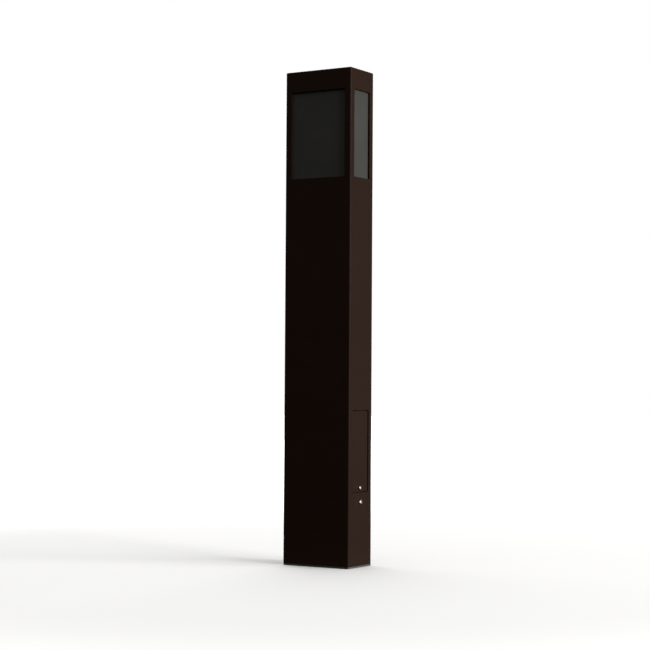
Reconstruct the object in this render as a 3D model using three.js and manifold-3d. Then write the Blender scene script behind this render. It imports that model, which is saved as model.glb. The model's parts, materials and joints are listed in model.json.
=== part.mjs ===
// A rectangular aluminium bollard light, about a metre tall.
//
// A tube of rectangular section stands on a cast anchor base. Four windows near its top are glazed from
// inside with frosted panels, around a column of LED boards. A flush cover low on the right face closes the
// hand hole: a hook holds its top edge and one captive screw its bottom edge. The driver, surge protector
// and terminal block sit on a tray on the wall opposite the hand hole.
//
// Millimetres, +Z up. The origin is on the ground at the middle of the base. The two wide faces look along
// -Y (front) and +Y (rear); the hand hole is in the narrow face that looks along +X (right).
import * as THREE from "three";
import { mergeVertices } from "three/addons/utils/BufferGeometryUtils.js";
import Module from "manifold-3d";

const wasm = await Module();
wasm.setup();

// ---- driving dimensions ----
const HEIGHT = 1000;
const WIDTH = 154; // along X
const DEPTH = 90; // along Y
const WALL = 3.2;
const EDGE_RADIUS = 2.8; // upright outer edges
const TOP_RADIUS = 2.5; // rim of the tube
const BASE_LIP = 3.5; // edge of the base plate, seen under the tube
const FIT = 0.4; // each side, between the tube and what slides into it
const TOUCH = 0.1; // between pieces that bear on each other
const M4_HOLE = 2.3; // radius of a hole that takes an M4 screw
const M5_HOLE = 2.8;
const BEYOND = 5; // how far a cutter reaches past what it cuts through

const WINDOW_TOP = 957.5;
const WINDOW_HEIGHT = 176;
const WINDOW_MARGIN = 14.5; // from a window to the edge of its face
const WINDOW_RADIUS = 1;
const GLASS = 4;
const LENS_GASKET = 0.8;
const GLASS_OVERLAP = { wide: 6, narrow: 5, above: 7, below: 9 };

const CHAMBER_FLOOR = 772; // top of the plate that closes the lamp chamber from below
const FLOOR_PLATE = 6;
const LEDGE = { height: 8, flange: 14, thick: 4, short: 2 };
const GLAND = { hex: 19, lockNut: 17, thread: 6, hole: 6.3 };
const SEAL = { groove: 2, height: 3, level: 1.5 }; // cord seal around the floor plate and the cap
const POST = { size: 8, inset: 5.3 }; // square corner posts, and their gap to the tube's inner wall
const CAP = { plate: 5, core: 3.2, flange: 2.8 };
const CAP_POCKET = { x: 108, y: 48, deep: 6, radius: 6 }; // hollow in its underside

const HAND_HOLE = { bottom: 149.7, width: 64, height: 164.3, radius: 4 };
const COVER = { side: 1.2, top: 1.4, thick: 2.5, sunk: 1.6, neckHole: 1.8 };
const FRAME = { width: 78, bottom: 146, top: 326, radius: 3, ledge: 3, pocket: 2.5, clear: 0.6 };
const FRAME_SCREW_HOLE = 2.7;
const FRAME_OPENING = { bottom: 168, top: 297, width: 50, radius: 6 };
const HOOK = { width: 30, bottom: 305.5, footTop: 314.5, tipBottom: 312.9, tipTop: 320.5, thick: 2 };
const HOOK_SLOT = { width: 34, bottom: 304.6, top: 322.5 };
const COVER_GASKET = { width: 60, height: 139, bottom: 164, band: 3.5, radius: 6 };
const COVER_WASHER = { radius: 4, thick: 0.75, gap: 0.05 };
const COVER_NUT = { across: 7, height: 3.2, hole: 2.35 };
const COVER_SCREW_LEVEL = 158.4;

const SHAFT_SCREW_LEVEL = 129.9;
const BASE = { floor: 10, wall: 4, wallTop: 30, radius: 1.5 };
const UPSTAND = { thick: 7.4, width: 44, top: 145 };
const BASE_RIB = { foot: 16, footTop: 22, top: 112, thick: 6 };
const ANCHOR_SLOT = { x: 50, y: 26, length: 22, width: 10 };
const CONDUIT_HOLE = { x: 70, y: 46, radius: 8 };
const LUG = { x: -42, level: 10, hole: -1.5, width: 12, length: 14, thick: 2, barrel: 4, reach: 10 };

const TRAY = { thick: 2, width: 60, bottom: 185, top: 560, flange: 10, flangeEnd: 20, standoff: 12 };
const STANDOFF_WIDTH = 16;
const TRAY_SCREW_LEVELS = { lower: 193, upper: 549 };
const DRIVER = { bottom: 330, top: 500, width: 44, deep: 28, tab: 11, spigot: 4 };
const DRIVER_TAB = { width: 24, thick: 2 };
const DRIVER_RIB = { margin: 5, height: 3, proud: 0.6, levels: [36, 48, 60] };
const SURGE = { bottom: 245, height: 50, width: 34, deep: 26, side: 10 };
const SURGE_FOOT = { beyond: 6, thick: 2, peg: 2.5 };
const TERMINAL = { bottom: 205, height: 22, width: 44, deep: 18, ways: 3, entry: 9.5, peg: 7.3 };
const CLAMP_WELL = { radius: 3, deep: 4 };
const PEG = { radius: 1.8, hole: 2.2, length: 3.6 }; // snap pegs that hold a housing on the tray
const CABLE = 6; // diameter
const GROUND_WIRE = 4;

const HEAT_SINK = { x: 76, y: 34, wall: 3, web: 8, webAt: 20, top: 958 };
const BOARD = { thick: 1.6, wide: 70, narrow: 28, bottom: 775, top: 955 };
const LED = { size: 3.5, high: 0.8, rows: 7 };

// ---- levels and places that follow from them ----
const INNER_X = WIDTH / 2 - WALL;
const INNER_Y = DEPTH / 2 - WALL;
const WINDOW_BOTTOM = WINDOW_TOP - WINDOW_HEIGHT;
const WINDOW_MIDDLE = (WINDOW_TOP + WINDOW_BOTTOM) / 2;
const POST_X = INNER_X - POST.inset - POST.size / 2;
const POST_Y = INNER_Y - POST.inset - POST.size / 2;
const CAP_BOTTOM = HEIGHT - CAP.plate - CAP.core - CAP.flange;
const TRAY_FACE = -(INNER_X - TRAY.standoff - TRAY.thick); // x of the tray's front
const COVER_FRONT = WIDTH / 2 - COVER.sunk;
const COVER_BACK = COVER_FRONT - COVER.thick;
const FRAME_FRONT = INNER_X - TOUCH;
const LEDGE_FRONT = FRAME_FRONT - FRAME.pocket;
const LEDGE_BACK = LEDGE_FRONT - FRAME.ledge;
const CABLE_LINE = TRAY_FACE + DRIVER.deep / 2; // x of the cables along the tray
const TERMINAL_LINE = TRAY_FACE + TERMINAL.entry; // x of the terminal block's wire entries
const TERMINAL_PITCH = TERMINAL.width / TERMINAL.ways;

// ---- finishes ----
const paint = { color: 0x2b1f1a, roughness: 0.5, metalness: 0.1 };
const castAluminium = { color: 0x8b8b88, roughness: 0.6, metalness: 0.7 };
const sheetAluminium = { color: 0xb4b6b8, roughness: 0.4, metalness: 0.8 };
const galvanised = { color: 0xa6abae, roughness: 0.45, metalness: 0.8 };
const stainless = { color: 0xc9c7c2, roughness: 0.25, metalness: 1 };
const frostedGlass = { color: 0x6e6e6a, roughness: 0.6, metalness: 0 };
const rubber = { color: 0x171717, roughness: 0.85, metalness: 0 };
const whiteBoard = { color: 0xe9e9e4, roughness: 0.5, metalness: 0 };
const blackPlastic = { color: 0x202124, roughness: 0.55, metalness: 0 };
const greyPlastic = { color: 0x9a9c9e, roughness: 0.55, metalness: 0 };
const copper = { color: 0xb87348, roughness: 0.35, metalness: 1 };
const greenSheath = { color: 0x2f8a3c, roughness: 0.5, metalness: 0 };

// ---- solids ----

// A closed three.js geometry as a manifold-3d solid.
function solid(geometry) {
  const bare = geometry.index ? geometry.toNonIndexed() : geometry.clone();
  bare.deleteAttribute("normal");
  bare.deleteAttribute("uv");
  const merged = mergeVertices(bare, 1e-4);
  return new wasm.Manifold(
    new wasm.Mesh({
      numProp: 3,
      vertProperties: merged.attributes.position.array,
      triVerts: new Uint32Array(merged.index.array),
    }),
  );
}

// A manifold-3d solid as a three.js geometry.
function geometryOf(made) {
  const mesh = made.getMesh();
  const geometry = new THREE.BufferGeometry();
  geometry.setAttribute("position", new THREE.BufferAttribute(mesh.vertProperties, 3));
  geometry.setIndex(new THREE.BufferAttribute(mesh.triVerts, 1));
  return geometry.toNonIndexed();
}

function box(x, y, z) {
  return solid(new THREE.BoxGeometry(x, y, z));
}

function roundedRect(width, height, radius, path = new THREE.Shape()) {
  const x = width / 2 - radius;
  const y = height / 2 - radius;
  path.absarc(x, y, radius, 0, Math.PI / 2);
  path.absarc(-x, y, radius, Math.PI / 2, Math.PI);
  path.absarc(-x, -y, radius, Math.PI, Math.PI * 1.5);
  path.absarc(x, -y, radius, Math.PI * 1.5, Math.PI * 2);
  return path;
}

// A flat piece of the outline, from z = bottom to z = bottom + height.
function slab(shape, height, bottom = 0, curveSegments = 2) {
  const options = { depth: height, bevelEnabled: false, curveSegments };
  return solid(new THREE.ExtrudeGeometry(shape, options)).translate([0, 0, bottom]);
}

function plate(width, height, thick, bottom = 0, radius = 1) {
  return slab(roundedRect(width, height, radius), thick, bottom);
}

// A rectangular ring around the Z axis.
function ring(outer, inner, height, bottom = 0) {
  const shape = roundedRect(outer.x, outer.y, outer.radius);
  shape.holes.push(roundedRect(inner.x, inner.y, inner.radius, new THREE.Path()));
  return slab(shape, height, bottom);
}

// A round bar along Z from z = bottom to z = bottom + height.
function bar(radius, height, bottom = 0, segments = 16) {
  const geometry = new THREE.CylinderGeometry(radius, radius, height, segments);
  return solid(geometry.rotateX(Math.PI / 2)).translate([0, 0, bottom + height / 2]);
}

// A round cutter along Z, through any plate or wall at z = 0.
function drill(radius, segments = 16) {
  const reach = 15;
  return bar(radius, 2 * reach, -reach, segments);
}

// A hexagonal bar along Z, measured across its flats.
function hexBar(acrossFlats, height, bottom = 0) {
  return bar(acrossFlats / Math.sqrt(3), height, bottom, 6);
}

// A solid of revolution about Z from [radius, level] points that start and end on the axis, going up.
function turned(points, segments = 16) {
  const profile = points.map(([r, level]) => new THREE.Vector2(r, level));
  return solid(new THREE.LatheGeometry(profile, segments).rotateX(Math.PI / 2));
}

// A round cable along a smooth curve through the points.
function cable(diameter, points, steps) {
  const curve = new THREE.CatmullRomCurve3(points.map((p) => new THREE.Vector3(...p)));
  const section = new THREE.Shape().absarc(0, 0, diameter / 2, 0, Math.PI * 2);
  const options = { steps, extrudePath: curve, curveSegments: 5 };
  return solid(new THREE.ExtrudeGeometry(section, options));
}

// ---- placing ----

const bollard = new THREE.Group();

function add(parent, name, made, finish, place = [0, 0, 0]) {
  const mesh = new THREE.Mesh(geometryOf(made), new THREE.MeshStandardMaterial(finish));
  mesh.name = name;
  mesh.position.set(...place);
  parent.add(mesh);
  return mesh;
}

// The four faces of the tube. A face's own frame has X along the face, Y up and Z outwards.
const FACES = {
  front: { turn: 0, out: DEPTH / 2, width: WIDTH, overlap: GLASS_OVERLAP.wide },
  right: { turn: 90, out: WIDTH / 2, width: DEPTH, overlap: GLASS_OVERLAP.narrow },
  rear: { turn: 180, out: DEPTH / 2, width: WIDTH, overlap: GLASS_OVERLAP.wide },
  left: { turn: 270, out: WIDTH / 2, width: DEPTH, overlap: GLASS_OVERLAP.narrow },
};
for (const face of Object.values(FACES)) {
  face.group = new THREE.Group();
  face.group.rotation.set(Math.PI / 2, 0, THREE.MathUtils.degToRad(face.turn), "ZYX");
  face.windowWidth = face.width - 2 * WINDOW_MARGIN;
  bollard.add(face.group);
}

// A solid drawn in a face's frame, turned into the bollard's frame.
function onFace(face, made) {
  return made.rotate([90, 0, 0]).rotate([0, 0, face.turn]);
}

const corners = [1, -1].flatMap((x) => [1, -1].map((y) => ({ x, y })));

// ---- screws ----

// A screw along Z, head up, with the underside of its head at z = 0. The shank is a list of [radius, end]
// stretches, going down.
function screw({ head, shank, socket, socketDeep, segments = 12 }) {
  const down = [];
  let top = 0;
  for (const [radius, end] of shank) {
    down.push([radius, top], [radius, end]);
    top = end;
  }
  const below = [...down, [0, top]].reverse();
  const made = turned([...below, ...head], segments);
  const headTop = head[head.length - 1][1];
  return made.subtract(hexBar(socket, socketDeep + 1, headTop - socketDeep));
}

// The rim and rounded top of a pan head, as points that go up to the axis.
function panHead(radius, height) {
  const rim = 0.45 * height;
  const dome = [0, 0.4, 0.75, 1].map((t) => {
    const angle = (t * Math.PI) / 2;
    const flat = 0.62; // share of the head that is flat around its socket
    return [radius * (flat + (1 - flat) * Math.cos(angle)), rim + (height - rim) * Math.sin(angle)];
  });
  return [[radius, 0], ...dome, [0, height]];
}

const coverScrewParts = {
  head: panHead(3.8, 2.2),
  shank: [[1.5, -8.35], [2, -12.85]], // a thin neck keeps the screw captive in the cover
  socket: 2.5,
  socketDeep: 1.3,
  segments: 16,
};
const shaftScrewParts = {
  head: panHead(4.75, 2.75),
  shank: [[2.5, -16]],
  socket: 3,
  socketDeep: 1.6,
  segments: 16,
};
const panScrewParts = {
  head: panHead(4, 2.2),
  shank: [[2, -10]],
  socket: 2.5,
  socketDeep: 1.3,
};
const COUNTERSINK = 2.2;
const SINK = COUNTERSINK + 0.5; // from the cap's top down to under a screw's head
const capScrewParts = {
  head: [[4, COUNTERSINK], [4, COUNTERSINK + 0.3], [0, COUNTERSINK + 0.3]],
  shank: [[2, -16]],
  socket: 2.5,
  socketDeep: 1.8,
};

// ---- anchor base ----

function anchorBase() {
  const { floor, wall, wallTop, radius } = BASE;
  const across = { x: 2 * (INNER_X - FIT), y: 2 * (INNER_Y - FIT), radius };
  const inside = { x: across.x - 2 * wall, y: across.y - 2 * wall, radius };
  let made = plate(WIDTH, DEPTH, BASE_LIP, 0, EDGE_RADIUS)
    .add(plate(across.x, across.y, floor - BASE_LIP + 1, BASE_LIP - 1, radius))
    .add(ring(across, inside, wallTop - floor + 1, floor - 1));
  for (const side of [1, -1]) {
    const middle = side * (across.x / 2 - UPSTAND.thick / 2);
    const height = UPSTAND.top - floor + 1;
    const upstand = box(UPSTAND.thick, UPSTAND.width, height);
    made = made.add(upstand.translate([middle, 0, UPSTAND.top - height / 2]));
    made = made.add(baseRib(side * (across.x / 2 - UPSTAND.thick), side));
    const tapped = drill(M5_HOLE).rotate([0, 90, 0]);
    made = made.subtract(tapped.translate([middle, 0, SHAFT_SCREW_LEVEL]));
  }
  for (const { x, y } of corners) {
    const { length, width } = ANCHOR_SLOT;
    const slot = slab(roundedRect(length, width, width / 2 - 0.01), floor + 2 * BEYOND, -BEYOND, 3);
    made = made.subtract(slot.translate([x * ANCHOR_SLOT.x, y * ANCHOR_SLOT.y, 0]));
  }
  const groundHoleDeep = 7;
  const groundHole = bar(M4_HOLE, groundHoleDeep + 1, floor - groundHoleDeep);
  const conduit = plate(CONDUIT_HOLE.x, CONDUIT_HOLE.y, floor + 2 * BEYOND, -BEYOND, CONDUIT_HOLE.radius);
  return made.subtract(groundHole.translate([LUG.x, LUG.hole, 0])).subtract(conduit);
}

// A tapered rib from the floor up the inner face of an upstand.
function baseRib(x, side) {
  const { foot, footTop, top, thick } = BASE_RIB;
  const shape = new THREE.Shape()
    .moveTo(1, BASE.floor - 1)
    .lineTo(1, top)
    .lineTo(0, top)
    .lineTo(-foot, footTop)
    .lineTo(-foot, BASE.floor - 1);
  const rib = slab(shape, thick, -thick / 2).rotate([90, 0, 0]);
  return (side > 0 ? rib : rib.rotate([0, 0, 180])).translate([x, 0, 0]);
}

add(bollard, "anchor_base", anchorBase(), castAluminium);
for (const side of ["right", "left"]) {
  add(FACES[side].group, `shaft_screw_${side}`, screw(shaftScrewParts), stainless, [
    0,
    SHAFT_SCREW_LEVEL,
    WIDTH / 2 + TOUCH,
  ]);
}

// ---- earthing ----

function groundLug() {
  const { width, length, thick, barrel, reach } = LUG;
  const start = length / 2 - 1; // y where the barrel starts
  const boreStart = start + 3;
  const tube = bar(barrel, reach).rotate([-90, 0, 0]).translate([0, start, barrel]);
  const bore = bar(GROUND_WIRE / 2 + 0.3, reach).rotate([-90, 0, 0]).translate([0, boreStart, barrel]);
  return plate(width, length, thick, 0, 2)
    .add(tube)
    .subtract(bore)
    .subtract(drill(M4_HOLE).translate([0, LUG.hole, 0]));
}

// ---- tube ----

function housing() {
  const bevel = {
    depth: HEIGHT - TOP_RADIUS,
    bevelEnabled: true,
    bevelThickness: TOP_RADIUS,
    bevelSize: TOP_RADIUS,
    bevelOffset: -TOP_RADIUS,
    bevelSegments: 3,
    curveSegments: 3,
  };
  const block = solid(new THREE.ExtrudeGeometry(roundedRect(WIDTH, DEPTH, EDGE_RADIUS), bevel));
  const foot = BASE_LIP + TOUCH;
  let made = block.subtract(box(WIDTH * 2, DEPTH * 2, 2 * foot));
  made = made.subtract(plate(2 * INNER_X, 2 * INNER_Y, HEIGHT + 2 * BEYOND, -BEYOND, 1));
  for (const name of ["front", "right"]) {
    const face = FACES[name];
    const cut = plate(face.windowWidth, WINDOW_HEIGHT, 2 * WIDTH, -WIDTH, WINDOW_RADIUS);
    made = made.subtract(onFace(face, cut.translate([0, WINDOW_MIDDLE, 0])));
  }
  const through = WALL + 2 * BEYOND;
  const hole = plate(HAND_HOLE.width, HAND_HOLE.height, through, INNER_X - BEYOND, HAND_HOLE.radius);
  const holeMiddle = HAND_HOLE.bottom + HAND_HOLE.height / 2;
  made = made.subtract(onFace(FACES.right, hole.translate([0, holeMiddle, 0])));
  const screwHoles = bar(M5_HOLE, 2 * WIDTH, -WIDTH).translate([0, SHAFT_SCREW_LEVEL, 0]);
  return made.subtract(onFace(FACES.right, screwHoles));
}

add(bollard, "housing", housing(), paint);

// ---- hand hole ----

// The frame welded behind the hand hole: a pocket for the cover's gasket, a ledge all round, a slot for the
// cover's hook and a hole for its screw.
function handHoleFrame() {
  const height = FRAME.top - FRAME.bottom;
  const middle = FRAME.bottom + height / 2;
  const thick = FRAME_FRONT - LEDGE_BACK;
  const through = thick + 2 * BEYOND;
  const back = LEDGE_BACK - BEYOND;
  const pocketWidth = HAND_HOLE.width + 2 * FRAME.clear;
  const pocketHeight = HAND_HOLE.height + 2 * FRAME.clear;
  const pocket = plate(pocketWidth, pocketHeight, through, LEDGE_FRONT, HAND_HOLE.radius);
  const openingHeight = FRAME_OPENING.top - FRAME_OPENING.bottom;
  const opening = plate(FRAME_OPENING.width, openingHeight, through, back, FRAME_OPENING.radius);
  const slotHeight = HOOK_SLOT.top - HOOK_SLOT.bottom;
  const slot = plate(HOOK_SLOT.width, slotHeight, through, back);
  const screwHole = bar(FRAME_SCREW_HOLE, through, back);
  return plate(FRAME.width, height, thick, LEDGE_BACK, FRAME.radius)
    .translate([0, middle, 0])
    .subtract(pocket.translate([0, HAND_HOLE.bottom + HAND_HOLE.height / 2, 0]))
    .subtract(opening.translate([0, FRAME_OPENING.bottom + openingHeight / 2, 0]))
    .subtract(slot.translate([0, HOOK_SLOT.bottom + slotHeight / 2, 0]))
    .subtract(screwHole.translate([0, COVER_SCREW_LEVEL, 0]));
}

function accessCover() {
  const width = HAND_HOLE.width - 2 * COVER.side;
  const height = HAND_HOLE.height - COVER.side - COVER.top;
  const bottom = HAND_HOLE.bottom + COVER.side;
  const hole = bar(COVER.neckHole, COVER.thick + 2 * BEYOND, COVER_BACK - BEYOND);
  return plate(width, height, COVER.thick, COVER_BACK, HAND_HOLE.radius - COVER.side)
    .translate([0, bottom + height / 2, 0])
    .subtract(hole.translate([0, COVER_SCREW_LEVEL, 0]));
}

// A joggled tongue: its foot lies on the cover's back, and its tip stands up close behind the tube's wall.
function coverHook() {
  const { width, bottom, footTop, tipBottom, tipTop, thick } = HOOK;
  const clear = 0.5; // between the tip and the tube's wall
  const foot = plate(width, footTop - bottom, thick, COVER_BACK - TOUCH - thick);
  const tip = plate(width, tipTop - tipBottom, thick, INNER_X - clear - thick);
  return foot
    .translate([0, (footTop + bottom) / 2, 0])
    .add(tip.translate([0, (tipTop + tipBottom) / 2, 0]));
}

function coverGasket() {
  const { width, height, bottom, band, radius } = COVER_GASKET;
  const outer = { x: width, y: height, radius };
  const inner = { x: width - 2 * band, y: height - 2 * band, radius: radius - 2 };
  const thick = COVER_BACK - LEDGE_FRONT - 2 * TOUCH;
  return ring(outer, inner, thick, LEDGE_FRONT + TOUCH).translate([0, bottom + height / 2, 0]);
}

function coverWasher() {
  return bar(COVER_WASHER.radius, COVER_WASHER.thick).subtract(drill(COVER.neckHole));
}

function coverNut() {
  return hexBar(COVER_NUT.across, COVER_NUT.height).subtract(drill(COVER_NUT.hole));
}

const right = FACES.right.group;
const WASHER_BACK = COVER_FRONT + COVER_WASHER.gap;
const SCREW_SEAT = WASHER_BACK + COVER_WASHER.thick + COVER_WASHER.gap;
const NUT_BACK = LEDGE_BACK - TOUCH - COVER_NUT.height;
add(right, "handhole_frame", handHoleFrame(), paint);
add(right, "access_cover", accessCover(), paint);
add(right, "cover_hook", coverHook(), paint);
add(right, "cover_gasket", coverGasket(), rubber);
add(right, "cover_washer", coverWasher(), rubber, [0, COVER_SCREW_LEVEL, WASHER_BACK]);
add(right, "cover_screw", screw(coverScrewParts), stainless, [0, COVER_SCREW_LEVEL, SCREW_SEAT]);
add(right, "cover_nut", coverNut(), galvanised, [0, COVER_SCREW_LEVEL, NUT_BACK]);

// ---- gear tray and what is on it ----

// The tray's own frame has X across the tray, Y up and Z towards the hand hole, with its front at z = 0.
const tray = new THREE.Group();
tray.position.x = TRAY_FACE;
tray.rotation.set(Math.PI / 2, 0, Math.PI / 2, "ZYX");
bollard.add(tray);

// Where the pegs are, as places across and levels up the tray.
const terminalPegs = [1, -1].map((side) => [side * TERMINAL.peg, TERMINAL.bottom + TERMINAL.height / 2]);
const surgePegs = [1, -1].map((side) => [
  SURGE.side,
  SURGE.bottom + SURGE.height / 2 + side * (SURGE.height / 2 + SURGE_FOOT.peg),
]);
const driverScrewLevels = {
  lower: DRIVER.bottom + DRIVER.tab / 2,
  upper: DRIVER.top - DRIVER.tab / 2,
};

function gearTray() {
  const height = TRAY.top - TRAY.bottom;
  const middle = TRAY.bottom + height / 2;
  let made = plate(TRAY.width, height, TRAY.thick, -TRAY.thick, 1);
  for (const side of [1, -1]) {
    const flange = box(TRAY.thick, height - 2 * TRAY.flangeEnd, TRAY.flange + TRAY.thick);
    const x = side * (TRAY.width - TRAY.thick) / 2;
    made = made.add(flange.translate([x, 0, (TRAY.flange - TRAY.thick) / 2]));
  }
  made = made.translate([0, middle, 0]);
  const levels = [...Object.values(TRAY_SCREW_LEVELS), ...Object.values(driverScrewLevels)];
  for (const level of levels) {
    made = made.subtract(drill(M4_HOLE).translate([0, level, 0]));
  }
  for (const [x, level] of [...terminalPegs, ...surgePegs]) {
    made = made.subtract(drill(PEG.hole, 10).translate([x, level, 0]));
  }
  return made;
}

function peg([x, level]) {
  return bar(PEG.radius, PEG.length + 1, TOUCH - PEG.length, 10).translate([x, level, 0]);
}

function standoff() {
  return plate(STANDOFF_WIDTH, STANDOFF_WIDTH, TRAY.standoff - 2 * TOUCH).subtract(drill(M4_HOLE));
}

function ledDriver() {
  const caseHeight = DRIVER.top - DRIVER.bottom - 2 * DRIVER.tab;
  const middle = (DRIVER.top + DRIVER.bottom) / 2;
  const spigotRadius = 5;
  const tabs = plate(DRIVER_TAB.width, DRIVER.top - DRIVER.bottom, DRIVER_TAB.thick, TOUCH, 3);
  const body = slab(roundedRect(DRIVER.width, DRIVER.deep, 3), caseHeight, -caseHeight / 2)
    .rotate([-90, 0, 0])
    .translate([0, 0, DRIVER.deep / 2 + TOUCH]);
  let made = tabs.add(body);
  for (const side of [1, -1]) {
    const spigot = bar(spigotRadius, DRIVER.spigot + 1)
      .rotate([-90 * side, 0, 0])
      .translate([0, side * (caseHeight / 2 - 1), DRIVER.deep / 2]);
    made = made.add(spigot);
    const hole = side * (caseHeight + DRIVER.tab) / 2;
    made = made.subtract(drill(M4_HOLE).translate([0, hole, 0]));
  }
  const { margin, height, proud, levels } = DRIVER_RIB;
  const rib = box(DRIVER.width - 2 * margin, height, proud + 1);
  for (const level of levels.flatMap((up) => [up, -up])) {
    made = made.add(rib.translate([0, level, DRIVER.deep + TOUCH + (proud - 1) / 2]));
  }
  return made.translate([0, middle, 0]);
}

function surgeProtector() {
  const body = slab(roundedRect(SURGE.width, SURGE.deep, 4), SURGE.height, -SURGE.height / 2);
  const footHeight = SURGE.height + 2 * SURGE_FOOT.beyond;
  const foot = plate(SURGE.width, footHeight, SURGE_FOOT.thick, TOUCH, 3);
  const made = body
    .rotate([-90, 0, 0])
    .translate([0, 0, SURGE.deep / 2 + TOUCH])
    .add(foot)
    .translate([SURGE.side, SURGE.bottom + SURGE.height / 2, 0]);
  return surgePegs.reduce((joined, place) => joined.add(peg(place)), made);
}

function terminalBlock() {
  const { width, height, deep, ways, bottom, entry } = TERMINAL;
  const entryDeep = 7;
  const well = bar(CLAMP_WELL.radius, CLAMP_WELL.deep + 2, deep - CLAMP_WELL.deep, 12);
  let made = plate(width, height, deep, TOUCH, 1);
  for (let way = 0; way < ways; way++) {
    const x = (way - (ways - 1) / 2) * TERMINAL_PITCH;
    made = made.subtract(well.translate([x, 0, 0]));
    for (const side of [1, -1]) {
      const hole = bar(CABLE / 2 + 0.4, entryDeep + 1, 0, 12).rotate([90 * side, 0, 0]);
      made = made.subtract(hole.translate([x, side * (height / 2 + 1), entry]));
    }
  }
  made = made.translate([0, bottom + height / 2, 0]);
  return terminalPegs.reduce((joined, place) => joined.add(peg(place)), made);
}

add(tray, "gear_tray", gearTray(), galvanised);
add(tray, "led_driver", ledDriver(), blackPlastic);
add(tray, "surge_protector", surgeProtector(), greyPlastic);
add(tray, "terminal_block", terminalBlock(), whiteBoard);
for (const [name, level] of Object.entries(TRAY_SCREW_LEVELS)) {
  const back = -TRAY.thick - TRAY.standoff + TOUCH;
  add(tray, `tray_standoff_${name}`, standoff(), sheetAluminium, [0, level, back]);
  add(tray, `tray_screw_${name}`, screw(panScrewParts), stainless, [0, level, TOUCH]);
}
const DRIVER_SCREW = { ...panScrewParts, head: panHead(3.4, 1.8), shank: [[2, -6]] };
for (const [name, level] of Object.entries(driverScrewLevels)) {
  add(tray, `driver_screw_${name}`, screw(DRIVER_SCREW), stainless, [0, level, DRIVER_TAB.thick + 2 * TOUCH]);
}

// ---- lamp chamber floor ----

const sealOuter = { x: 2 * (INNER_X - TOUCH), y: 2 * (INNER_Y - TOUCH), radius: 1 };
const grooveInner = {
  x: 2 * (INNER_X - FIT - SEAL.groove),
  y: 2 * (INNER_Y - FIT - SEAL.groove),
  radius: 1,
};

function cordSeal() {
  const inner = { x: grooveInner.x + 2 * TOUCH, y: grooveInner.y + 2 * TOUCH, radius: 1 };
  return ring(sealOuter, inner, SEAL.height);
}

// A plate that fits the tube, with a groove round its edge for the cord seal.
function floorPlate() {
  const full = { x: 2 * (INNER_X - FIT), y: 2 * (INNER_Y - FIT), radius: 1 };
  const beyond = { ...full, x: full.x + 10, y: full.y + 10 };
  const groove = ring(beyond, grooveInner, SEAL.height + 2 * TOUCH, SEAL.level);
  let made = plate(full.x, full.y, FLOOR_PLATE).subtract(groove).subtract(drill(GLAND.hole));
  for (const { x, y } of corners) {
    made = made.subtract(drill(M4_HOLE).translate([x * POST_X, y * POST_Y, 0]));
  }
  for (const side of [1, -1]) {
    made = made.subtract(drill(M4_HOLE).translate([side * HEAT_SINK.webAt, 0, 0]));
  }
  return made;
}

// The angle welded inside the tube under the floor plate.
function ledge() {
  const { height, flange, thick, short } = LEDGE;
  const width = 2 * (INNER_Y - short);
  const under = box(flange, width + 2, height).translate([thick + flange / 2, 0, height / 2 - thick]);
  let made = box(flange, width, height).translate([flange / 2, 0, height / 2]).subtract(under);
  for (const side of [1, -1]) {
    made = made.subtract(drill(M4_HOLE).translate([INNER_X - TOUCH - POST_X, side * POST_Y, 0]));
  }
  return made;
}

function cableGland() {
  const hexHeight = 5;
  const lockNutHeight = 4;
  const proud = 2; // of the thread beyond its lock nut
  const dome = { end: -20, shoulder: -16, radius: 8.5, mouth: 5.5 };
  const reach = 30;
  const hex = hexBar(GLAND.hex, hexHeight, -hexHeight - TOUCH);
  const domeNut = turned([
    [0, dome.end],
    [dome.mouth, dome.end],
    [dome.radius, dome.shoulder],
    [dome.radius, -hexHeight],
    [0, -hexHeight],
  ]);
  const thread = bar(GLAND.thread, hexHeight + FLOOR_PLATE + lockNutHeight + proud, -hexHeight);
  const lockNut = hexBar(GLAND.lockNut, lockNutHeight, FLOOR_PLATE + TOUCH);
  const bore = bar(CABLE / 2 + 0.3, 2 * reach, -reach);
  return hex.add(domeNut).add(thread).add(lockNut).subtract(bore);
}

const FLOOR_BOTTOM = CHAMBER_FLOOR - FLOOR_PLATE;
const LEDGE_TOP = FLOOR_BOTTOM - TOUCH;
add(bollard, "light_tray", floorPlate(), sheetAluminium, [0, 0, FLOOR_BOTTOM]);
add(bollard, "light_tray_seal", cordSeal(), rubber, [0, 0, FLOOR_BOTTOM + SEAL.level + TOUCH]);
for (const [side, turn] of [["left", 0], ["right", Math.PI]]) {
  const x = (side === "left" ? -1 : 1) * (INNER_X - TOUCH);
  add(bollard, `ledge_${side}`, ledge(), paint, [x, 0, LEDGE_TOP - LEDGE.height]).rotation.z = turn;
}
add(bollard, "cable_gland", cableGland(), blackPlastic, [0, 0, FLOOR_BOTTOM]);

// ---- glazing ----

const GLASS_BOTTOM = WINDOW_BOTTOM - GLASS_OVERLAP.below;
const GLASS_HEIGHT = WINDOW_TOP + GLASS_OVERLAP.above - GLASS_BOTTOM;

function lens(face) {
  return plate(face.windowWidth + 2 * face.overlap, GLASS_HEIGHT, GLASS);
}

// The gasket frame stops just short of the window, so the wall hides it.
function lensGasket(face) {
  const short = 1; // of the window's edge, each side
  const outer = plate(face.windowWidth + 2 * face.overlap, GLASS_HEIGHT, LENS_GASKET);
  const opening = plate(face.windowWidth + 2 * short, WINDOW_HEIGHT + 2 * short, 2 * BEYOND, -BEYOND);
  const shift = WINDOW_MIDDLE - (GLASS_BOTTOM + GLASS_HEIGHT / 2);
  return outer.subtract(opening.translate([0, shift, 0]));
}

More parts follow.
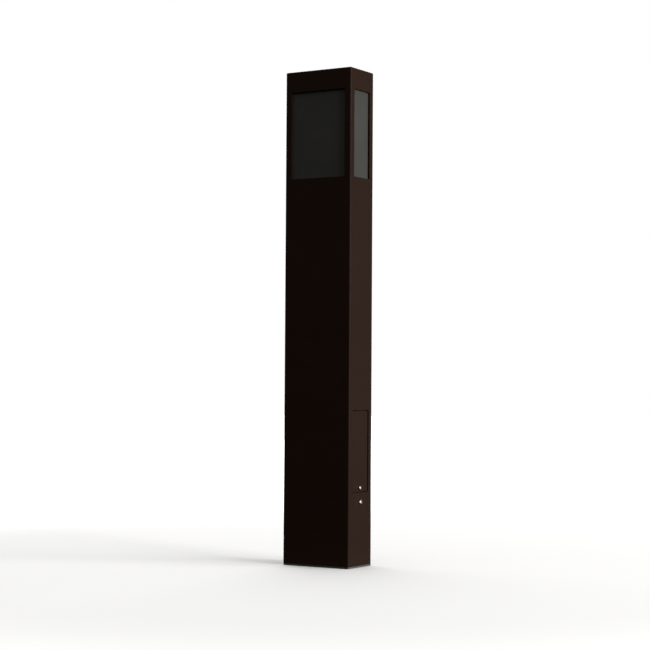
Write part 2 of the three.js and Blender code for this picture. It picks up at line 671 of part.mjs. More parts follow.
for (const [name, face] of Object.entries(FACES)) {
  const wallBack = face.out - WALL;
  const gasketBack = wallBack - TOUCH - LENS_GASKET;
  const level = GLASS_BOTTOM + GLASS_HEIGHT / 2;
  add(face.group, `lens_gasket_${name}`, lensGasket(face), rubber, [0, level, gasketBack]);
  add(face.group, `lens_${name}`, lens(face), frostedGlass, [0, level, gasketBack - TOUCH - GLASS]);
}

// ---- corner posts ----

const POST_TOP = CAP_BOTTOM - TOUCH;
const POST_BOTTOM = CHAMBER_FLOOR + TOUCH;
const postShape = roundedRect(POST.size, POST.size, 1);
postShape.holes.push(new THREE.Path().absarc(0, 0, M4_HOLE, 0, Math.PI * 2));

const cornerName = ({ x, y }) => `${y < 0 ? "front" : "rear"}_${x < 0 ? "left" : "right"}`;
const postScrewParts = { ...panScrewParts, shank: [[2, -26]] };

for (const corner of corners) {
  const x = corner.x * POST_X;
  const y = corner.y * POST_Y;
  const name = cornerName(corner);
  const post = slab(postShape, POST_TOP - POST_BOTTOM, 0, 5);
  add(bollard, `corner_post_${name}`, post, sheetAluminium, [x, y, POST_BOTTOM]);
  const seat = LEDGE_TOP - LEDGE.thick - 2 * TOUCH;
  const place = [x, y, seat];
  add(bollard, `post_screw_${name}`, screw(postScrewParts), stainless, place).rotation.x = Math.PI;
}

// ---- LED column ----

function heatSink() {
  const { x, y, wall, web, webAt, top } = HEAT_SINK;
  const height = top - CHAMBER_FLOOR - TOUCH;
  const shape = roundedRect(x, y, 1);
  const inside = y - 2 * wall;
  let made = slab(shape, height);
  const middleWidth = 2 * webAt - web;
  made = made.subtract(plate(middleWidth, inside, height + 2, -1, 1));
  const sideWidth = x / 2 - wall - webAt - web / 2;
  for (const side of [1, -1]) {
    const sideMiddle = side * (webAt + web / 2 + sideWidth / 2);
    made = made.subtract(plate(sideWidth, inside, height + 2, -1, 1).translate([sideMiddle, 0, 0]));
    made = made.subtract(bar(M4_HOLE, height + 2, -1).translate([side * webAt, 0, 0]));
  }
  return made;
}

// A board with its rows of LEDs standing proud of it.
function ledBoard(width, columns) {
  const height = BOARD.top - BOARD.bottom;
  let made = plate(width, height, BOARD.thick);
  const chip = box(LED.size, LED.size, LED.high + 0.5);
  const rowPitch = height / LED.rows;
  const columnPitch = width / columns;
  for (let column = 0; column < columns; column++) {
    for (let row = 0; row < LED.rows; row++) {
      const x = (column - (columns - 1) / 2) * columnPitch;
      const y = (row - (LED.rows - 1) / 2) * rowPitch;
      made = made.add(chip.translate([x, y, BOARD.thick + (LED.high - 0.5) / 2]));
    }
  }
  return made;
}

add(bollard, "led_heatsink", heatSink(), sheetAluminium, [0, 0, CHAMBER_FLOOR + TOUCH]);
for (const [name, face] of Object.entries(FACES)) {
  const wide = face.out === DEPTH / 2;
  const out = (wide ? HEAT_SINK.y : HEAT_SINK.x) / 2 + TOUCH;
  const board = wide ? ledBoard(BOARD.wide, 2) : ledBoard(BOARD.narrow, 1);
  add(face.group, `led_board_${name}`, board, whiteBoard, [0, (BOARD.top + BOARD.bottom) / 2, out]);
}
const heatSinkScrewParts = { ...panScrewParts, shank: [[2, -18]] };
for (const [name, side] of [["left", -1], ["right", 1]]) {
  const place = [side * HEAT_SINK.webAt, 0, FLOOR_BOTTOM - TOUCH];
  const made = screw(heatSinkScrewParts);
  add(bollard, `heatsink_screw_${name}`, made, stainless, place).rotation.x = Math.PI;
}

// ---- cap ----

function topCap() {
  const full = { x: 2 * (INNER_X - FIT), y: 2 * (INNER_Y - FIT) };
  const core = plate(grooveInner.x, grooveInner.y, CAP.core + 2, CAP.flange - 1);
  const pocket = plate(CAP_POCKET.x, CAP_POCKET.y, CAP_POCKET.deep + 1, -1, CAP_POCKET.radius);
  let made = plate(full.x, full.y, CAP.flange)
    .add(core)
    .add(plate(full.x, full.y, CAP.plate, CAP.flange + CAP.core))
    .subtract(pocket);
  const top = CAP.flange + CAP.core + CAP.plate;
  for (const { x, y } of corners) {
    const cone = turned([[0, -30], [M4_HOLE, -30], [M4_HOLE, -SINK], [M4_HOLE + SINK, 0], [0, 0]]);
    made = made.subtract(cone.translate([x * POST_X, y * POST_Y, top + 0.01]));
  }
  return made;
}

add(bollard, "top_cap", topCap(), paint, [0, 0, CAP_BOTTOM]);
add(bollard, "cap_seal", cordSeal(), rubber, [0, 0, CAP_BOTTOM + CAP.flange + TOUCH]);
for (const corner of corners) {
  const place = [corner.x * POST_X, corner.y * POST_Y, HEIGHT - SINK];
  add(bollard, `cap_screw_${cornerName(corner)}`, screw(capScrewParts), stainless, place);
}

// ---- wiring ----

// From the driver up to the gland and on into the heat sink.
const ledCableRoute = [
  [CABLE_LINE, 0, DRIVER.top - DRIVER.tab + DRIVER.spigot + 0.3],
  [CABLE_LINE, 0, 520],
  [CABLE_LINE + 4, 0, 580],
  [-18, 0, 655],
  [-3, 0, 715],
  [0, 0, 745],
  [0, 0, 770],
  [0, 0, 800],
];
// From the driver down beside the surge protector to the terminal block.
const inputCableRoute = [
  [CABLE_LINE, 0, DRIVER.bottom + DRIVER.tab - DRIVER.spigot - 0.3],
  [CABLE_LINE, -0.5, 330],
  [CABLE_LINE, -8, 313],
  [CABLE_LINE, -15, 297],
  [CABLE_LINE, -16.5, 275],
  [CABLE_LINE, -16.5, 256],
  [TERMINAL_LINE, -TERMINAL_PITCH, 238],
  [TERMINAL_LINE, -TERMINAL_PITCH, 230],
  [TERMINAL_LINE, -TERMINAL_PITCH, 222],
];
// From the lug on the base up to the terminal block.
const groundWireRoute = [
  [LUG.x, 9.4, LUG.level + TOUCH + LUG.barrel],
  [LUG.x, 18, LUG.level + TOUCH + LUG.barrel],
  [LUG.x - 3, 25, 18],
  [-50, 29, 32],
  [-55, 30, 60],
  [-56, 30, 110],
  [-54, 27, 150],
  [-51, 18, 175],
  [TERMINAL_LINE, TERMINAL_PITCH, 192],
  [TERMINAL_LINE, TERMINAL_PITCH, 200],
  [TERMINAL_LINE, TERMINAL_PITCH, 209],
];
add(bollard, "led_cable", cable(CABLE, ledCableRoute, 24), rubber);
add(bollard, "driver_input_cable", cable(CABLE, inputCableRoute, 16), rubber);
add(bollard, "ground_wire", cable(GROUND_WIRE, groundWireRoute, 26), greenSheath);
add(bollard, "ground_lug", groundLug(), copper, [LUG.x, 0, LUG.level + TOUCH]);
const groundScrewParts = { ...panScrewParts, shank: [[2, -8]] };
const groundScrewPlace = [LUG.x, LUG.hole, LUG.level + LUG.thick + 2 * TOUCH];
add(bollard, "ground_screw", screw(groundScrewParts), stainless, groundScrewPlace);

export default bollard;
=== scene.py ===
import json
import math
from types import SimpleNamespace as Sizes

import bmesh
import bpy
from mathutils import Matrix, Vector

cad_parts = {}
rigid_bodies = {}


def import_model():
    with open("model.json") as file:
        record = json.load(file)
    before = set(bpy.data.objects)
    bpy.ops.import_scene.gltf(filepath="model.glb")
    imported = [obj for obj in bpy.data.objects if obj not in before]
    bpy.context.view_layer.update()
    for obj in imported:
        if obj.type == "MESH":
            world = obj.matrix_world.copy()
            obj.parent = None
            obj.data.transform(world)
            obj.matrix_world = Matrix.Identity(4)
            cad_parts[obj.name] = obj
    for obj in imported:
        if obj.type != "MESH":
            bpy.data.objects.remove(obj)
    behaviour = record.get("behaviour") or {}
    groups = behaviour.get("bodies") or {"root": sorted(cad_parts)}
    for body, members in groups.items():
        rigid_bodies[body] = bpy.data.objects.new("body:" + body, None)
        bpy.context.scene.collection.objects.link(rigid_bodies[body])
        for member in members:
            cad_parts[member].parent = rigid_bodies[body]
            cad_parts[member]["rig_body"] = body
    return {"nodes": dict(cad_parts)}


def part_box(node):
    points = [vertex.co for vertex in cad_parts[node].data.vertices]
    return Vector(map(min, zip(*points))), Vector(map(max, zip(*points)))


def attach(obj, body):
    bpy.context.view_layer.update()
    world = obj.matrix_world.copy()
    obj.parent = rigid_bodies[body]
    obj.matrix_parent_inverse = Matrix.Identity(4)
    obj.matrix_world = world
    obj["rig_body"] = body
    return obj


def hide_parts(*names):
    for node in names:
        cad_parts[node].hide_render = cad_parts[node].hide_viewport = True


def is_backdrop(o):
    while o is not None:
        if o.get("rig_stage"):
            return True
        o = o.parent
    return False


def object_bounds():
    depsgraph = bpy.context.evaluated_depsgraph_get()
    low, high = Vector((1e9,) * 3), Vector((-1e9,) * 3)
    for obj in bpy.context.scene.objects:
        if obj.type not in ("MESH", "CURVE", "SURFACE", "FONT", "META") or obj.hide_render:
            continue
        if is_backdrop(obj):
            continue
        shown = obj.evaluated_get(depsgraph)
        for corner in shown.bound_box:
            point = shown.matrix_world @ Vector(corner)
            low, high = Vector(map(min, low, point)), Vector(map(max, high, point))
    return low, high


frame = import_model()
cad_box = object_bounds()

MM = 0.001

# ---- camera ----

CAMERA = Sizes(
    lens=97.0,
    azimuth=31.48,  # degrees round from -Y towards +X
    elevation=-1.88,
    roll=0.351,
    distance=3.557,
    aim=Vector((-0.0058, -0.0036, -0.0142)),  # from the middle of the CAD box
    sensor_width=36,
    clip_end=100,
)


def add_camera():
    azimuth = math.radians(CAMERA.azimuth)
    elevation = math.radians(CAMERA.elevation)
    level = math.cos(elevation)
    towards = Vector((level * math.sin(azimuth), -level * math.cos(azimuth), math.sin(elevation)))
    middle = (Vector(cad_box[0]) + Vector(cad_box[1])) / 2
    camera = bpy.data.objects.new("camera", bpy.data.cameras.new("camera"))
    bpy.context.scene.collection.objects.link(camera)
    camera.data.lens = CAMERA.lens
    camera.data.sensor_width = CAMERA.sensor_width
    camera.data.clip_end = CAMERA.clip_end
    roll = Matrix.Rotation(math.radians(CAMERA.roll), 3, "Z")
    turn = towards.to_track_quat("Z", "Y").to_matrix() @ roll
    place = middle + CAMERA.aim + towards * CAMERA.distance
    camera.matrix_world = Matrix.Translation(place) @ turn.to_4x4()
    bpy.context.scene.camera = camera


add_camera()

# ---- light and floor ----

SOFTBOXES = {
    # size, place, what it aims at, power in watts
    "low_right": {"size": (2.2, 1.6), "place": (2.3, 3.7, 0.1), "aim": (0.08, 0, 0.25), "power": 5},
    "key": {"size": (8.3, 5.7), "place": (10.0, 0.5, 2.9), "aim": (0, 0, 0.4), "power": 1528},
    "back_left": {"size": (14.0, 5.0), "place": (-5.0, 4.7, 2.6), "aim": (0, 0, 0.4), "power": 540},
}
# brightness overhead, brightness from the sides and below, and the upward slope where the first is reached
SKY = Sizes(top=0.74, level=0.004, top_from=0.9)
FLOOR = Sizes(
    half=14.0,
    colour=(0.94, 0.935, 0.92, 1),
    roughness=0.9,
    specular=0.1,
    pale_from=0.85,  # how far from the middle it begins to turn white, and how far it is quite white
    white_from=2.7,
)


def add_node(tree, kind, inputs=None):
    """A shader node, with each of its inputs set to a value or linked from another node's output."""
    node = tree.nodes.new(f"ShaderNode{kind}")
    for name, value in (inputs or {}).items():
        if isinstance(value, bpy.types.NodeSocket):
            tree.links.new(value, node.inputs[name])
        else:
            node.inputs[name].default_value = value
    return node


def add_softbox(name, size, place, aim, power):
    light = bpy.data.lights.new(name, "AREA")
    light.shape = "RECTANGLE"
    light.size, light.size_y = size
    light.energy = power
    box = bpy.data.objects.new(name, light)
    bpy.context.scene.collection.objects.link(box)
    box.location = place
    box.rotation_euler = (Vector(place) - Vector(aim)).to_track_quat("Z", "Y").to_euler()
    box.visible_camera = False


def add_studio():
    for name, settings in SOFTBOXES.items():
        add_softbox(name, **settings)
    world = bpy.data.worlds.new("studio")
    bpy.context.scene.world = world
    world.use_nodes = True
    tree = world.node_tree
    tree.nodes.clear()
    direction = add_node(tree, "TexCoord").outputs["Generated"]
    upward = add_node(tree, "SeparateXYZ", {"Vector": direction}).outputs["Z"]
    reach = {"From Max": SKY.top_from, "To Min": SKY.level, "To Max": SKY.top}
    height = add_node(tree, "MapRange", {"Value": upward, **reach})
    height.interpolation_type = "SMOOTHSTEP"
    sky = add_node(tree, "Background", {"Strength": height.outputs["Result"]}).outputs[0]
    white = add_node(tree, "Background", {"Color": (1, 1, 1, 1)}).outputs[0]
    seen = add_node(tree, "LightPath").outputs["Is Camera Ray"]
    choice = add_node(tree, "MixShader", {0: seen, 1: sky, 2: white}).outputs[0]
    add_node(tree, "OutputWorld", {"Surface": choice})
    bpy.context.scene.view_settings.view_transform = "Standard"
    bpy.context.scene.view_settings.look = "None"


add_studio()


def add_floor():
    """A pale floor that fades into the white background far from the object."""
    half = FLOOR.half
    mesh = bpy.data.meshes.new("floor")
    corners = [(-half, -half, 0), (half, -half, 0), (half, half, 0), (-half, half, 0)]
    mesh.from_pydata(corners, [], [(0, 1, 2, 3)])
    floor = bpy.data.objects.new("floor", mesh)
    bpy.context.scene.collection.objects.link(floor)
    finish = bpy.data.materials.new("pale_floor")
    finish.use_nodes = True
    tree = finish.node_tree
    shader = tree.nodes["Principled BSDF"]
    shader.inputs["Base Color"].default_value = FLOOR.colour
    shader.inputs["Roughness"].default_value = FLOOR.roughness
    shader.inputs["Specular IOR Level"].default_value = FLOOR.specular
    shader.inputs["Emission Color"].default_value = (1, 1, 1, 1)
    distance = add_node(tree, "VectorMath", {0: add_node(tree, "TexCoord").outputs["Object"]})
    distance.operation = "LENGTH"
    reach = {"From Min": FLOOR.pale_from, "From Max": FLOOR.white_from}
    fade = add_node(tree, "MapRange", {"Value": distance.outputs["Value"], **reach})
    fade.interpolation_type = "SMOOTHSTEP"
    tree.links.new(fade.outputs["Result"], shader.inputs["Emission Strength"])
    mesh.materials.append(finish)
    floor.visible_diffuse = False
    floor.visible_glossy = False
    floor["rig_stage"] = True


add_floor()

# ---- materials ----


class Finish:
    """A Principled material, with helpers for the textures that feed it. Textures use object coordinates."""

    def __init__(self, name, colour, roughness, metallic=0.0, specular=0.5):
        self.colour = colour
        self.material = bpy.data.materials.new(name)
        self.material.use_nodes = True
        self.tree = self.material.node_tree
        self.shader = self.tree.nodes["Principled BSDF"]
        self.set("Base Color", (*colour, 1))
        self.set("Roughness", roughness)
        self.set("Metallic", metallic)
        self.set("Specular IOR Level", specular)
        self.place = add_node(self.tree, "TexCoord").outputs["Object"]

    def set(self, socket, value):
        self.shader.inputs[socket].default_value = value

    def link(self, socket, value):
        self.tree.links.new(value, self.shader.inputs[socket])

    def noise(self, per_metre, detail=2.0, rough=0.5, stretch=(1, 1, 1)):
        place = add_node(self.tree, "Mapping", {"Scale": stretch, "Vector": self.place}).outputs["Vector"]
        settings = {"Scale": per_metre, "Detail": detail, "Roughness": rough}
        return add_node(self.tree, "TexNoise", {**settings, "Vector": place}).outputs["Fac"]

    def cells(self, per_metre):
        settings = {"Scale": per_metre, "Vector": self.place}
        return add_node(self.tree, "TexVoronoi", settings).outputs["Color"]

    def between(self, value, low, high, start=0.3, end=0.7):
        """A number that goes from low to high as value goes from start to end."""
        settings = {"From Min": start, "From Max": end, "To Min": low, "To Max": high}
        return add_node(self.tree, "MapRange", {"Value": value, **settings}).outputs[0]

    def shades(self, value, dark, light, start=0.3, end=0.7):
        """The finish's colour, scaled from dark to light as value goes from start to end."""
        ramp = add_node(self.tree, "ValToRGB", {"Fac": value})
        for element, place, by in zip(ramp.color_ramp.elements, (start, end), (dark, light)):
            element.position = place
            element.color = (*[channel * by for channel in self.colour], 1)
        return ramp.outputs["Color"]

    def low_down(self, reach, value, most):
        """An amount that falls from most on the ground to none at the height reach, broken up by value."""
        height = add_node(self.tree, "SeparateXYZ", {"Vector": self.place}).outputs["Z"]
        amounts = {0: self.between(height, most, 0, 0, reach), 1: self.between(value, 0, 1)}
        product = add_node(self.tree, "Math", amounts)
        product.operation = "MULTIPLY"
        return product.outputs[0]

    def over(self, under, colour, amount):
        """A colour laid over another by the amount."""
        settings = {"Color1": under, "Color2": (*colour, 1), "Fac": amount}
        return add_node(self.tree, "MixRGB", settings).outputs["Color"]

    def bump(self, height, distance):
        """Relief of that depth, on top of any that the finish already has."""
        bump = add_node(self.tree, "Bump", {"Distance": distance, "Height": height})
        if self.shader.inputs["Normal"].is_linked:
            self.tree.links.new(self.shader.inputs["Normal"].links[0].from_socket, bump.inputs["Normal"])
        self.link("Normal", bump.outputs["Normal"])


def bronze_powder_coat():
    """Satin powder coat: orange peel over a finer grain, with a little pale dust near the ground that also
    paints in light thrown up from the floor onto the foot.
    """
    made = Finish("bronze_powder_coat", (0.0197, 0.0092, 0.0054), 0.5, specular=0.07)
    mottled = made.shades(made.noise(9, 4), 0.95, 1.05)
    # pale colour near the ground: partly dust, partly painted light, the floor's bounce on the foot
    dust_and_floor_light = made.over(mottled, (0.09, 0.075, 0.06), made.low_down(0.045, made.noise(220, 4), 0.07))
    made.link("Base Color", dust_and_floor_light)
    made.link("Roughness", made.between(made.noise(60, 3), 0.45, 0.56))
    made.bump(made.noise(420, 2), 0.00005)
    made.bump(made.noise(2600, 2), 0.000008)
    return made.material


def cast_aluminium():
    """Weathered sand-cast surface with fine pits and darker stains."""
    made = Finish("cast_aluminium", (0.17, 0.17, 0.165), 0.6, metallic=1.0)
    made.link("Base Color", made.shades(made.noise(55, 5, 0.6), 0.72, 1.1))
    made.link("Roughness", made.between(made.noise(300, 3), 0.5, 0.72))
    made.bump(made.noise(500, 3), 0.00022)
    pits = made.noise(1500, 2)
    made.bump(made.between(pits, 0, 1, 0.3, 0.42), 0.00012)
    return made.material


def galvanised_steel():
    """Zinc spangle: crystals of slightly different brightness and gloss."""
    made = Finish("galvanised_steel", (0.5, 0.52, 0.54), 0.42, metallic=1.0)
    crystals = made.cells(130)
    made.link("Base Color", made.shades(crystals, 0.78, 1.12, 0.1, 0.9))
    made.link("Roughness", made.between(crystals, 0.34, 0.5, 0.1, 0.9))
    made.bump(made.noise(700, 3), 0.00002)
    return made.material


def metal(name, colour, roughness, vary=0.15, grain=(600, (1, 1, 1)), depth=0.00003):
    """Bare metal with faint patches and a fine grain, which the stretch can draw out along one axis."""
    made = Finish(name, colour, roughness, metallic=1.0)
    made.link("Base Color", made.shades(made.noise(40, 3), 1 - vary, 1 + vary / 2))
    grain_scale, stretch = grain
    fine = made.noise(grain_scale, 3, stretch=stretch)
    made.link("Roughness", made.between(fine, roughness * 0.82, roughness * 1.18))
    made.bump(fine, depth)
    return made.material


def frosted_glass():
    """Acid-etched grey glass: a fine even grain, and a faint cloudiness."""
    made = Finish("frosted_glass", (0.043, 0.042, 0.038), 0.45, specular=0.3)
    made.link("Base Color", made.shades(made.noise(14, 3), 0.93, 1.07))
    made.link("Roughness", made.between(made.noise(120, 4), 0.42, 0.48))
    made.bump(made.noise(3000, 2), 0.000015)
    return made.material


def plastic(name, colour, roughness, specular=0.5, grain=1500, depth=0.00003):
    """Moulded plastic or rubber with an eroded tool texture."""
    made = Finish(name, colour, roughness, specular=specular)
    made.link("Base Color", made.shades(made.noise(30, 3), 0.88, 1.1))
    fine = made.noise(grain, 2)
    made.link("Roughness", made.between(fine, roughness * 0.88, min(1, roughness * 1.1)))
    made.bump(fine, depth)
    return made.material


def cable_jacket(name, colour):
    """An extruded jacket, with faint ripples along its length."""
    made = Finish(name, colour, 0.5, specular=0.4)
    made.link("Base Color", made.shades(made.noise(45, 3), 0.88, 1.12))
    made.link("Roughness", made.between(made.noise(500, 2), 0.44, 0.58))
    made.bump(made.noise(380, 2, stretch=(1, 1, 0.12)), 0.00006)
    return made.material


MATERIALS = {
    "bronze_powder_coat": bronze_powder_coat(),
    "cast_aluminium": cast_aluminium(),
    "mill_aluminium": metal("mill_aluminium", (0.62, 0.62, 0.62), 0.38, grain=(900, (1, 1, 0.03))),
    "galvanised_steel": galvanised_steel(),
    "stainless_steel": metal("stainless_steel", (0.6, 0.58, 0.56), 0.3, 0.1, (1800, (1, 1, 1)), 0.000008),
    "frosted_glass": frosted_glass(),
    "black_rubber": plastic("black_rubber", (0.012, 0.012, 0.012), 0.8, specular=0.3, grain=900),
    "led_board_white": plastic("led_board_white", (0.78, 0.78, 0.75), 0.45, grain=2500, depth=0.00001),
    "driver_black": plastic("driver_black", (0.015, 0.0155, 0.017), 0.5),
    "gland_black": plastic("gland_black", (0.017, 0.017, 0.018), 0.55),
    "surge_grey": plastic("surge_grey", (0.32, 0.33, 0.34), 0.5),
    "terminal_white": plastic("terminal_white", (0.7, 0.69, 0.65), 0.45),
    "cable_black": cable_jacket("cable_black", (0.013, 0.013, 0.013)),
    "ground_wire_green": cable_jacket("ground_wire_green", (0.03, 0.24, 0.05)),
    "lug_copper": metal("lug_copper", (0.72, 0.38, 0.22), 0.35, vary=0.3),
    "led_phosphor": plastic("led_phosphor", (0.78, 0.5, 0.05), 0.4),
}

# ---- shapes ----
#
# Shapes and pieces are drawn in millimetres, in the frame of the side that they face: u across, v up and w
# outwards. Shell turns them into metres in the CAD frame.

FACINGS = {
    "up": ((1, 0, 0), (0, 1, 0), (0, 0, 1)),
    "down": ((1, 0, 0), (0, -1, 0), (0, 0, -1)),
    "front": ((1, 0, 0), (0, 0, 1), (0, -1, 0)),
    "right": ((0, 1, 0), (0, 0, 1), (1, 0, 0)),
    "rear": ((-1, 0, 0), (0, 0, 1), (0, 1, 0)),
    "left": ((0, -1, 0), (0, 0, 1), (-1, 0, 0)),
}
WALLS = ("front", "right", "rear", "left")
ARC = 6  # steps in a quarter circle
ROUND = 48  # points around a turned piece
CUT_EDGE = 0.05  # the rounding of a piece's edges where it is to be carved, or to carve with
GROOVE = Sizes(deep=0.5, mouth=0.8, floor=0.7)
MERGE = 0.0005 * MM  # carving joins points that are closer than this,
SLIVER = 0.001 * MM  # takes out faces that are narrower than this,
FLAT = math.radians(0.5)  # and joins faces that are turned by less than this
SHARP = math.radians(38)


def turn_of(facing):
    return Matrix(FACINGS[facing]).transposed()


class Place:
    """The box of a CAD node in a facing's frame, in millimetres."""

    def __init__(self, node, facing="up"):
        back = turn_of(facing).transposed()
        ends = [back @ (corner / MM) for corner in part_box(node)]
        self.low = Vector(map(min, *ends))
        self.high = Vector(map(max, *ends))
        self.size = self.high - self.low
        self.middle = (self.low + self.high) / 2

    def outline(self, corner, inset=0.0):
        """The box's own outline, inset, with rounded corners."""
        return rounded(self.middle, self.size.x - 2 * inset, self.size.y - 2 * inset, corner)


def rounded(middle, width, height, radius, steps=ARC):
    """The outline of a rounded rectangle, as a function of how far it is grown."""
    x, y = width / 2 - radius, height / 2 - radius
    straight = (x, y, x, y)
    signs = ((1, 1), (-1, 1), (-1, -1), (1, -1))

    def outline(grow=0.0):
        points = []
        for quarter, (side, rise) in enumerate(signs):
            last = steps + 1 if straight[quarter] > 1e-4 else steps
            for step in range(last):
                angle = math.pi / 2 * (quarter + step / steps)
                reach = radius + grow
                u = middle[0] + side * x + reach * math.cos(angle)
                v = middle[1] + rise * y + reach * math.sin(angle)
                points.append((u, v))
        return points

    return outline


def circle(middle, radius, steps=ARC):
    return rounded(middle, 2 * radius, 2 * radius, radius, steps)


def polygon(points):
    """The outline through the points, which go round anticlockwise."""

    def outline(grow=0.0):
        grown = []
        for before, here, after in zip(points[-1:] + points[:-1], points, points[1:] + points[:1]):
            here = Vector(here)
            into = (here - Vector(before)).normalized()
            out = (Vector(after) - here).normalized()
            normal = Vector((into.y + out.y, -into.x - out.x)).normalized()
            grown.append(tuple(here + normal * grow / max(0.2, normal.dot(Vector((out.y, -out.x))))))
        return grown

    return outline


def edge_levels(low, high, edge, steps=4):
    """How far in a flat piece's outline is at each level, going up, where its two edges are rounded."""
    angles = [math.pi / 2 * step / steps for step in range(steps + 1)]
    rise = [(edge * (1 - math.sin(a)), low + edge * (1 - math.cos(a))) for a in angles]
    fall = [(inset, low + high - level) for inset, level in reversed(rise)]
    return rise + fall


class Shell:
    """A closed mesh."""

    def __init__(self, facing="up"):
        self.made = bmesh.new()
        self.facing = facing

    def ring(self, points, level, facing=None):
        turn = turn_of(facing or self.facing)
        return [self.made.verts.new(turn @ Vector((u, v, level)) * MM) for u, v in points]

    def bridge(self, one, other):
        for here, there in zip(range(len(one)), [*range(1, len(one)), 0]):
            self.made.faces.new((one[here], one[there], other[there], other[here]))

    def loft(self, rings, closed=False):
        for one, other in zip(rings, rings[1:]):
            self.bridge(one, other)
        if closed:
            self.bridge(rings[-1], rings[0])
        return rings

    def fill(self, *rings):
        """A flat face over the first ring, with the other rings as holes. Its edges are kept in order, so
        that its triangles are the same on every run."""
        edges = []
        for ring in rings:
            for one, other in zip(ring, ring[1:] + ring[:1]):
                edges.append(self.made.edges.get((one, other)) or self.made.edges.new((one, other)))
        bmesh.ops.triangle_fill(self.made, use_beauty=True, use_dissolve=False, edges=edges)

    def point(self, ring, u, v, level):
        tip = self.made.verts.new(turn_of(self.facing) @ Vector((u, v, level)) * MM)
        for one, other in zip(ring, ring[1:] + ring[:1]):
            self.made.faces.new((one, other, tip))

    def slab(self, outline, low, high, edge=0.3, holes=(), hole_edge=None):
        """A flat piece from level low to high, with rounded edges and holes right through."""
        hole_edge = edge if hole_edge is None else hole_edge
        levels = edge_levels(low, high, edge)
        sides = [self.loft([self.ring(outline(-inset), level) for inset, level in levels])]
        levels = edge_levels(low, high, hole_edge)
        for hole in holes:
            sides.append(self.loft([self.ring(hole(inset), level) for inset, level in levels]))
        self.fill(*[rings[0] for rings in sides])
        self.fill(*[rings[-1] for rings in sides])
        return self

    def spin(self, middle, profile, closed=False):
        """A turned piece: each [radius, level] of the profile is a ring. Its two ends close on the axis, or
        on each other if closed is true. A radius can be a function of the angle."""
        rings = []
        for radius, level in profile:
            points = []
            for step in range(ROUND):
                angle = 2 * math.pi * step / ROUND
                reach = radius(angle) if callable(radius) else radius
                points.append((middle[0] + reach * math.cos(angle), middle[1] + reach * math.sin(angle)))
            rings.append(self.ring(points, level))
        self.loft(rings, closed)
        if not closed:
            for ring, (_, level) in ((rings[0], profile[0]), (rings[-1], profile[-1])):
                self.point(ring, middle[0], middle[1], level)
        return self

    def mesh(self, name):
        bmesh.ops.recalc_face_normals(self.made, faces=self.made.faces)
        mesh = bpy.data.meshes.new(name)
        self.made.to_mesh(mesh)
        self.made.free()
        return mesh


def slab(facing, outline, low, high, edge=0.3, holes=(), hole_edge=None):
    return Shell(facing).slab(outline, low, high, edge, holes, hole_edge)


def block(facing, outline, low, high, holes=()):
    """A slab with all but sharp edges, to be carved or to carve with."""
    return slab(facing, outline, low, high, CUT_EDGE, holes)


def grooved(facing, outline, low, high, edge, grooves):
    """A flat piece from level low to high, with rounded edges and a narrow groove round it at some levels."""
    shell = Shell(facing)
    levels = edge_levels(low, high, edge)
    mouth, floor, deep = GROOVE.mouth / 2, GROOVE.floor / 2, GROOVE.deep
    profile = ((0, -mouth), (deep, -floor), (deep, floor), (0, mouth))
    cut = [(inset, level + step) for level in grooves for inset, step in profile]
    half = len(levels) // 2
    levels = levels[:half] + cut + levels[half:]
    rings = shell.loft([shell.ring(outline(-inset), level) for inset, level in levels])
    shell.fill(rings[0])
    shell.fill(rings[-1])
    return shell


def carved(name, base, adds=(), cuts=()):
    """A mesh: the base shell with the other shells joined to it and the cuts taken out."""
    scene = bpy.context.scene.collection
    body = bpy.data.objects.new(name, base.mesh(name))
    scene.objects.link(body)
    tools = []
    for operation, shells in (("UNION", adds), ("DIFFERENCE", cuts)):
        for shell in shells:
            tool = bpy.data.objects.new("tool", shell.mesh("tool"))
            scene.objects.link(tool)
            tools.append(tool)
            step = body.modifiers.new("step", "BOOLEAN")
            step.operation = operation
            step.solver = "EXACT"
            step.object = tool
    bpy.context.view_layer.update()
    mesh = bpy.data.meshes.new_from_object(body.evaluated_get(bpy.context.evaluated_depsgraph_get()))
    for used in (body, *tools):
        bpy.data.objects.remove(used)
    flat = bmesh.new()
    flat.from_mesh(mesh)
    bmesh.ops.remove_doubles(flat, verts=flat.verts, dist=MERGE)
    bmesh.ops.dissolve_limit(flat, angle_limit=FLAT, verts=flat.verts, edges=flat.edges)
    bmesh.ops.dissolve_degenerate(flat, dist=SLIVER, edges=flat.edges)
    flat.to_mesh(mesh)
    flat.free()
    return mesh


def add_piece(name, shape, slot, body, bevel=None, finish=None):
    """A piece that rides on a body, in its material slot's finish unless another's name is given."""
    mesh = shape if isinstance(shape, bpy.types.Mesh) else shape.mesh(name)
    made = bpy.data.objects.new(name, mesh)
    bpy.context.scene.collection.objects.link(made)
    mesh.materials.clear()
    mesh.materials.append(MATERIALS[finish or slot])
    for face in mesh.polygons:
        face.use_smooth = True
        face.material_index = 0
    mesh.set_sharp_from_angle(angle=SHARP)
    if bevel:
        soften = made.modifiers.new("bevel", "BEVEL")
        soften.width = bevel * MM
        soften.segments = 3
        soften.limit_method = "ANGLE"
        soften.angle_limit = SHARP
        soften.miter_outer = "MITER_ARC"
    weigh = made.modifiers.new("normals", "WEIGHTED_NORMAL")
    weigh.keep_sharp = True
    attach(made, body)
    return made


def piece(node, shape, bevel=None):
    """A finished piece that stands for a CAD node, on the node's body and in its material slot."""
    cad = frame["nodes"][node]
    slot = cad.data.materials[0].name.split(".")[0]
    made = add_piece(f"{node}_finished", shape, slot, cad["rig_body"], bevel)
    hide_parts(node)


def plate(node, facing, corner, edge, holes=(), hole_edge=None):
    """A finished piece that is a rounded plate, as large as the node's box."""
    at = Place(node, facing)
    piece(node, slab(facing, at.outline(corner), at.low.z, at.high.z, edge, holes, hole_edge))


def bore(node, facing, radius):
    """The outline of a hole around the middle of a node."""
    return circle(Place(node, facing).middle, radius)


# ---- screws ----

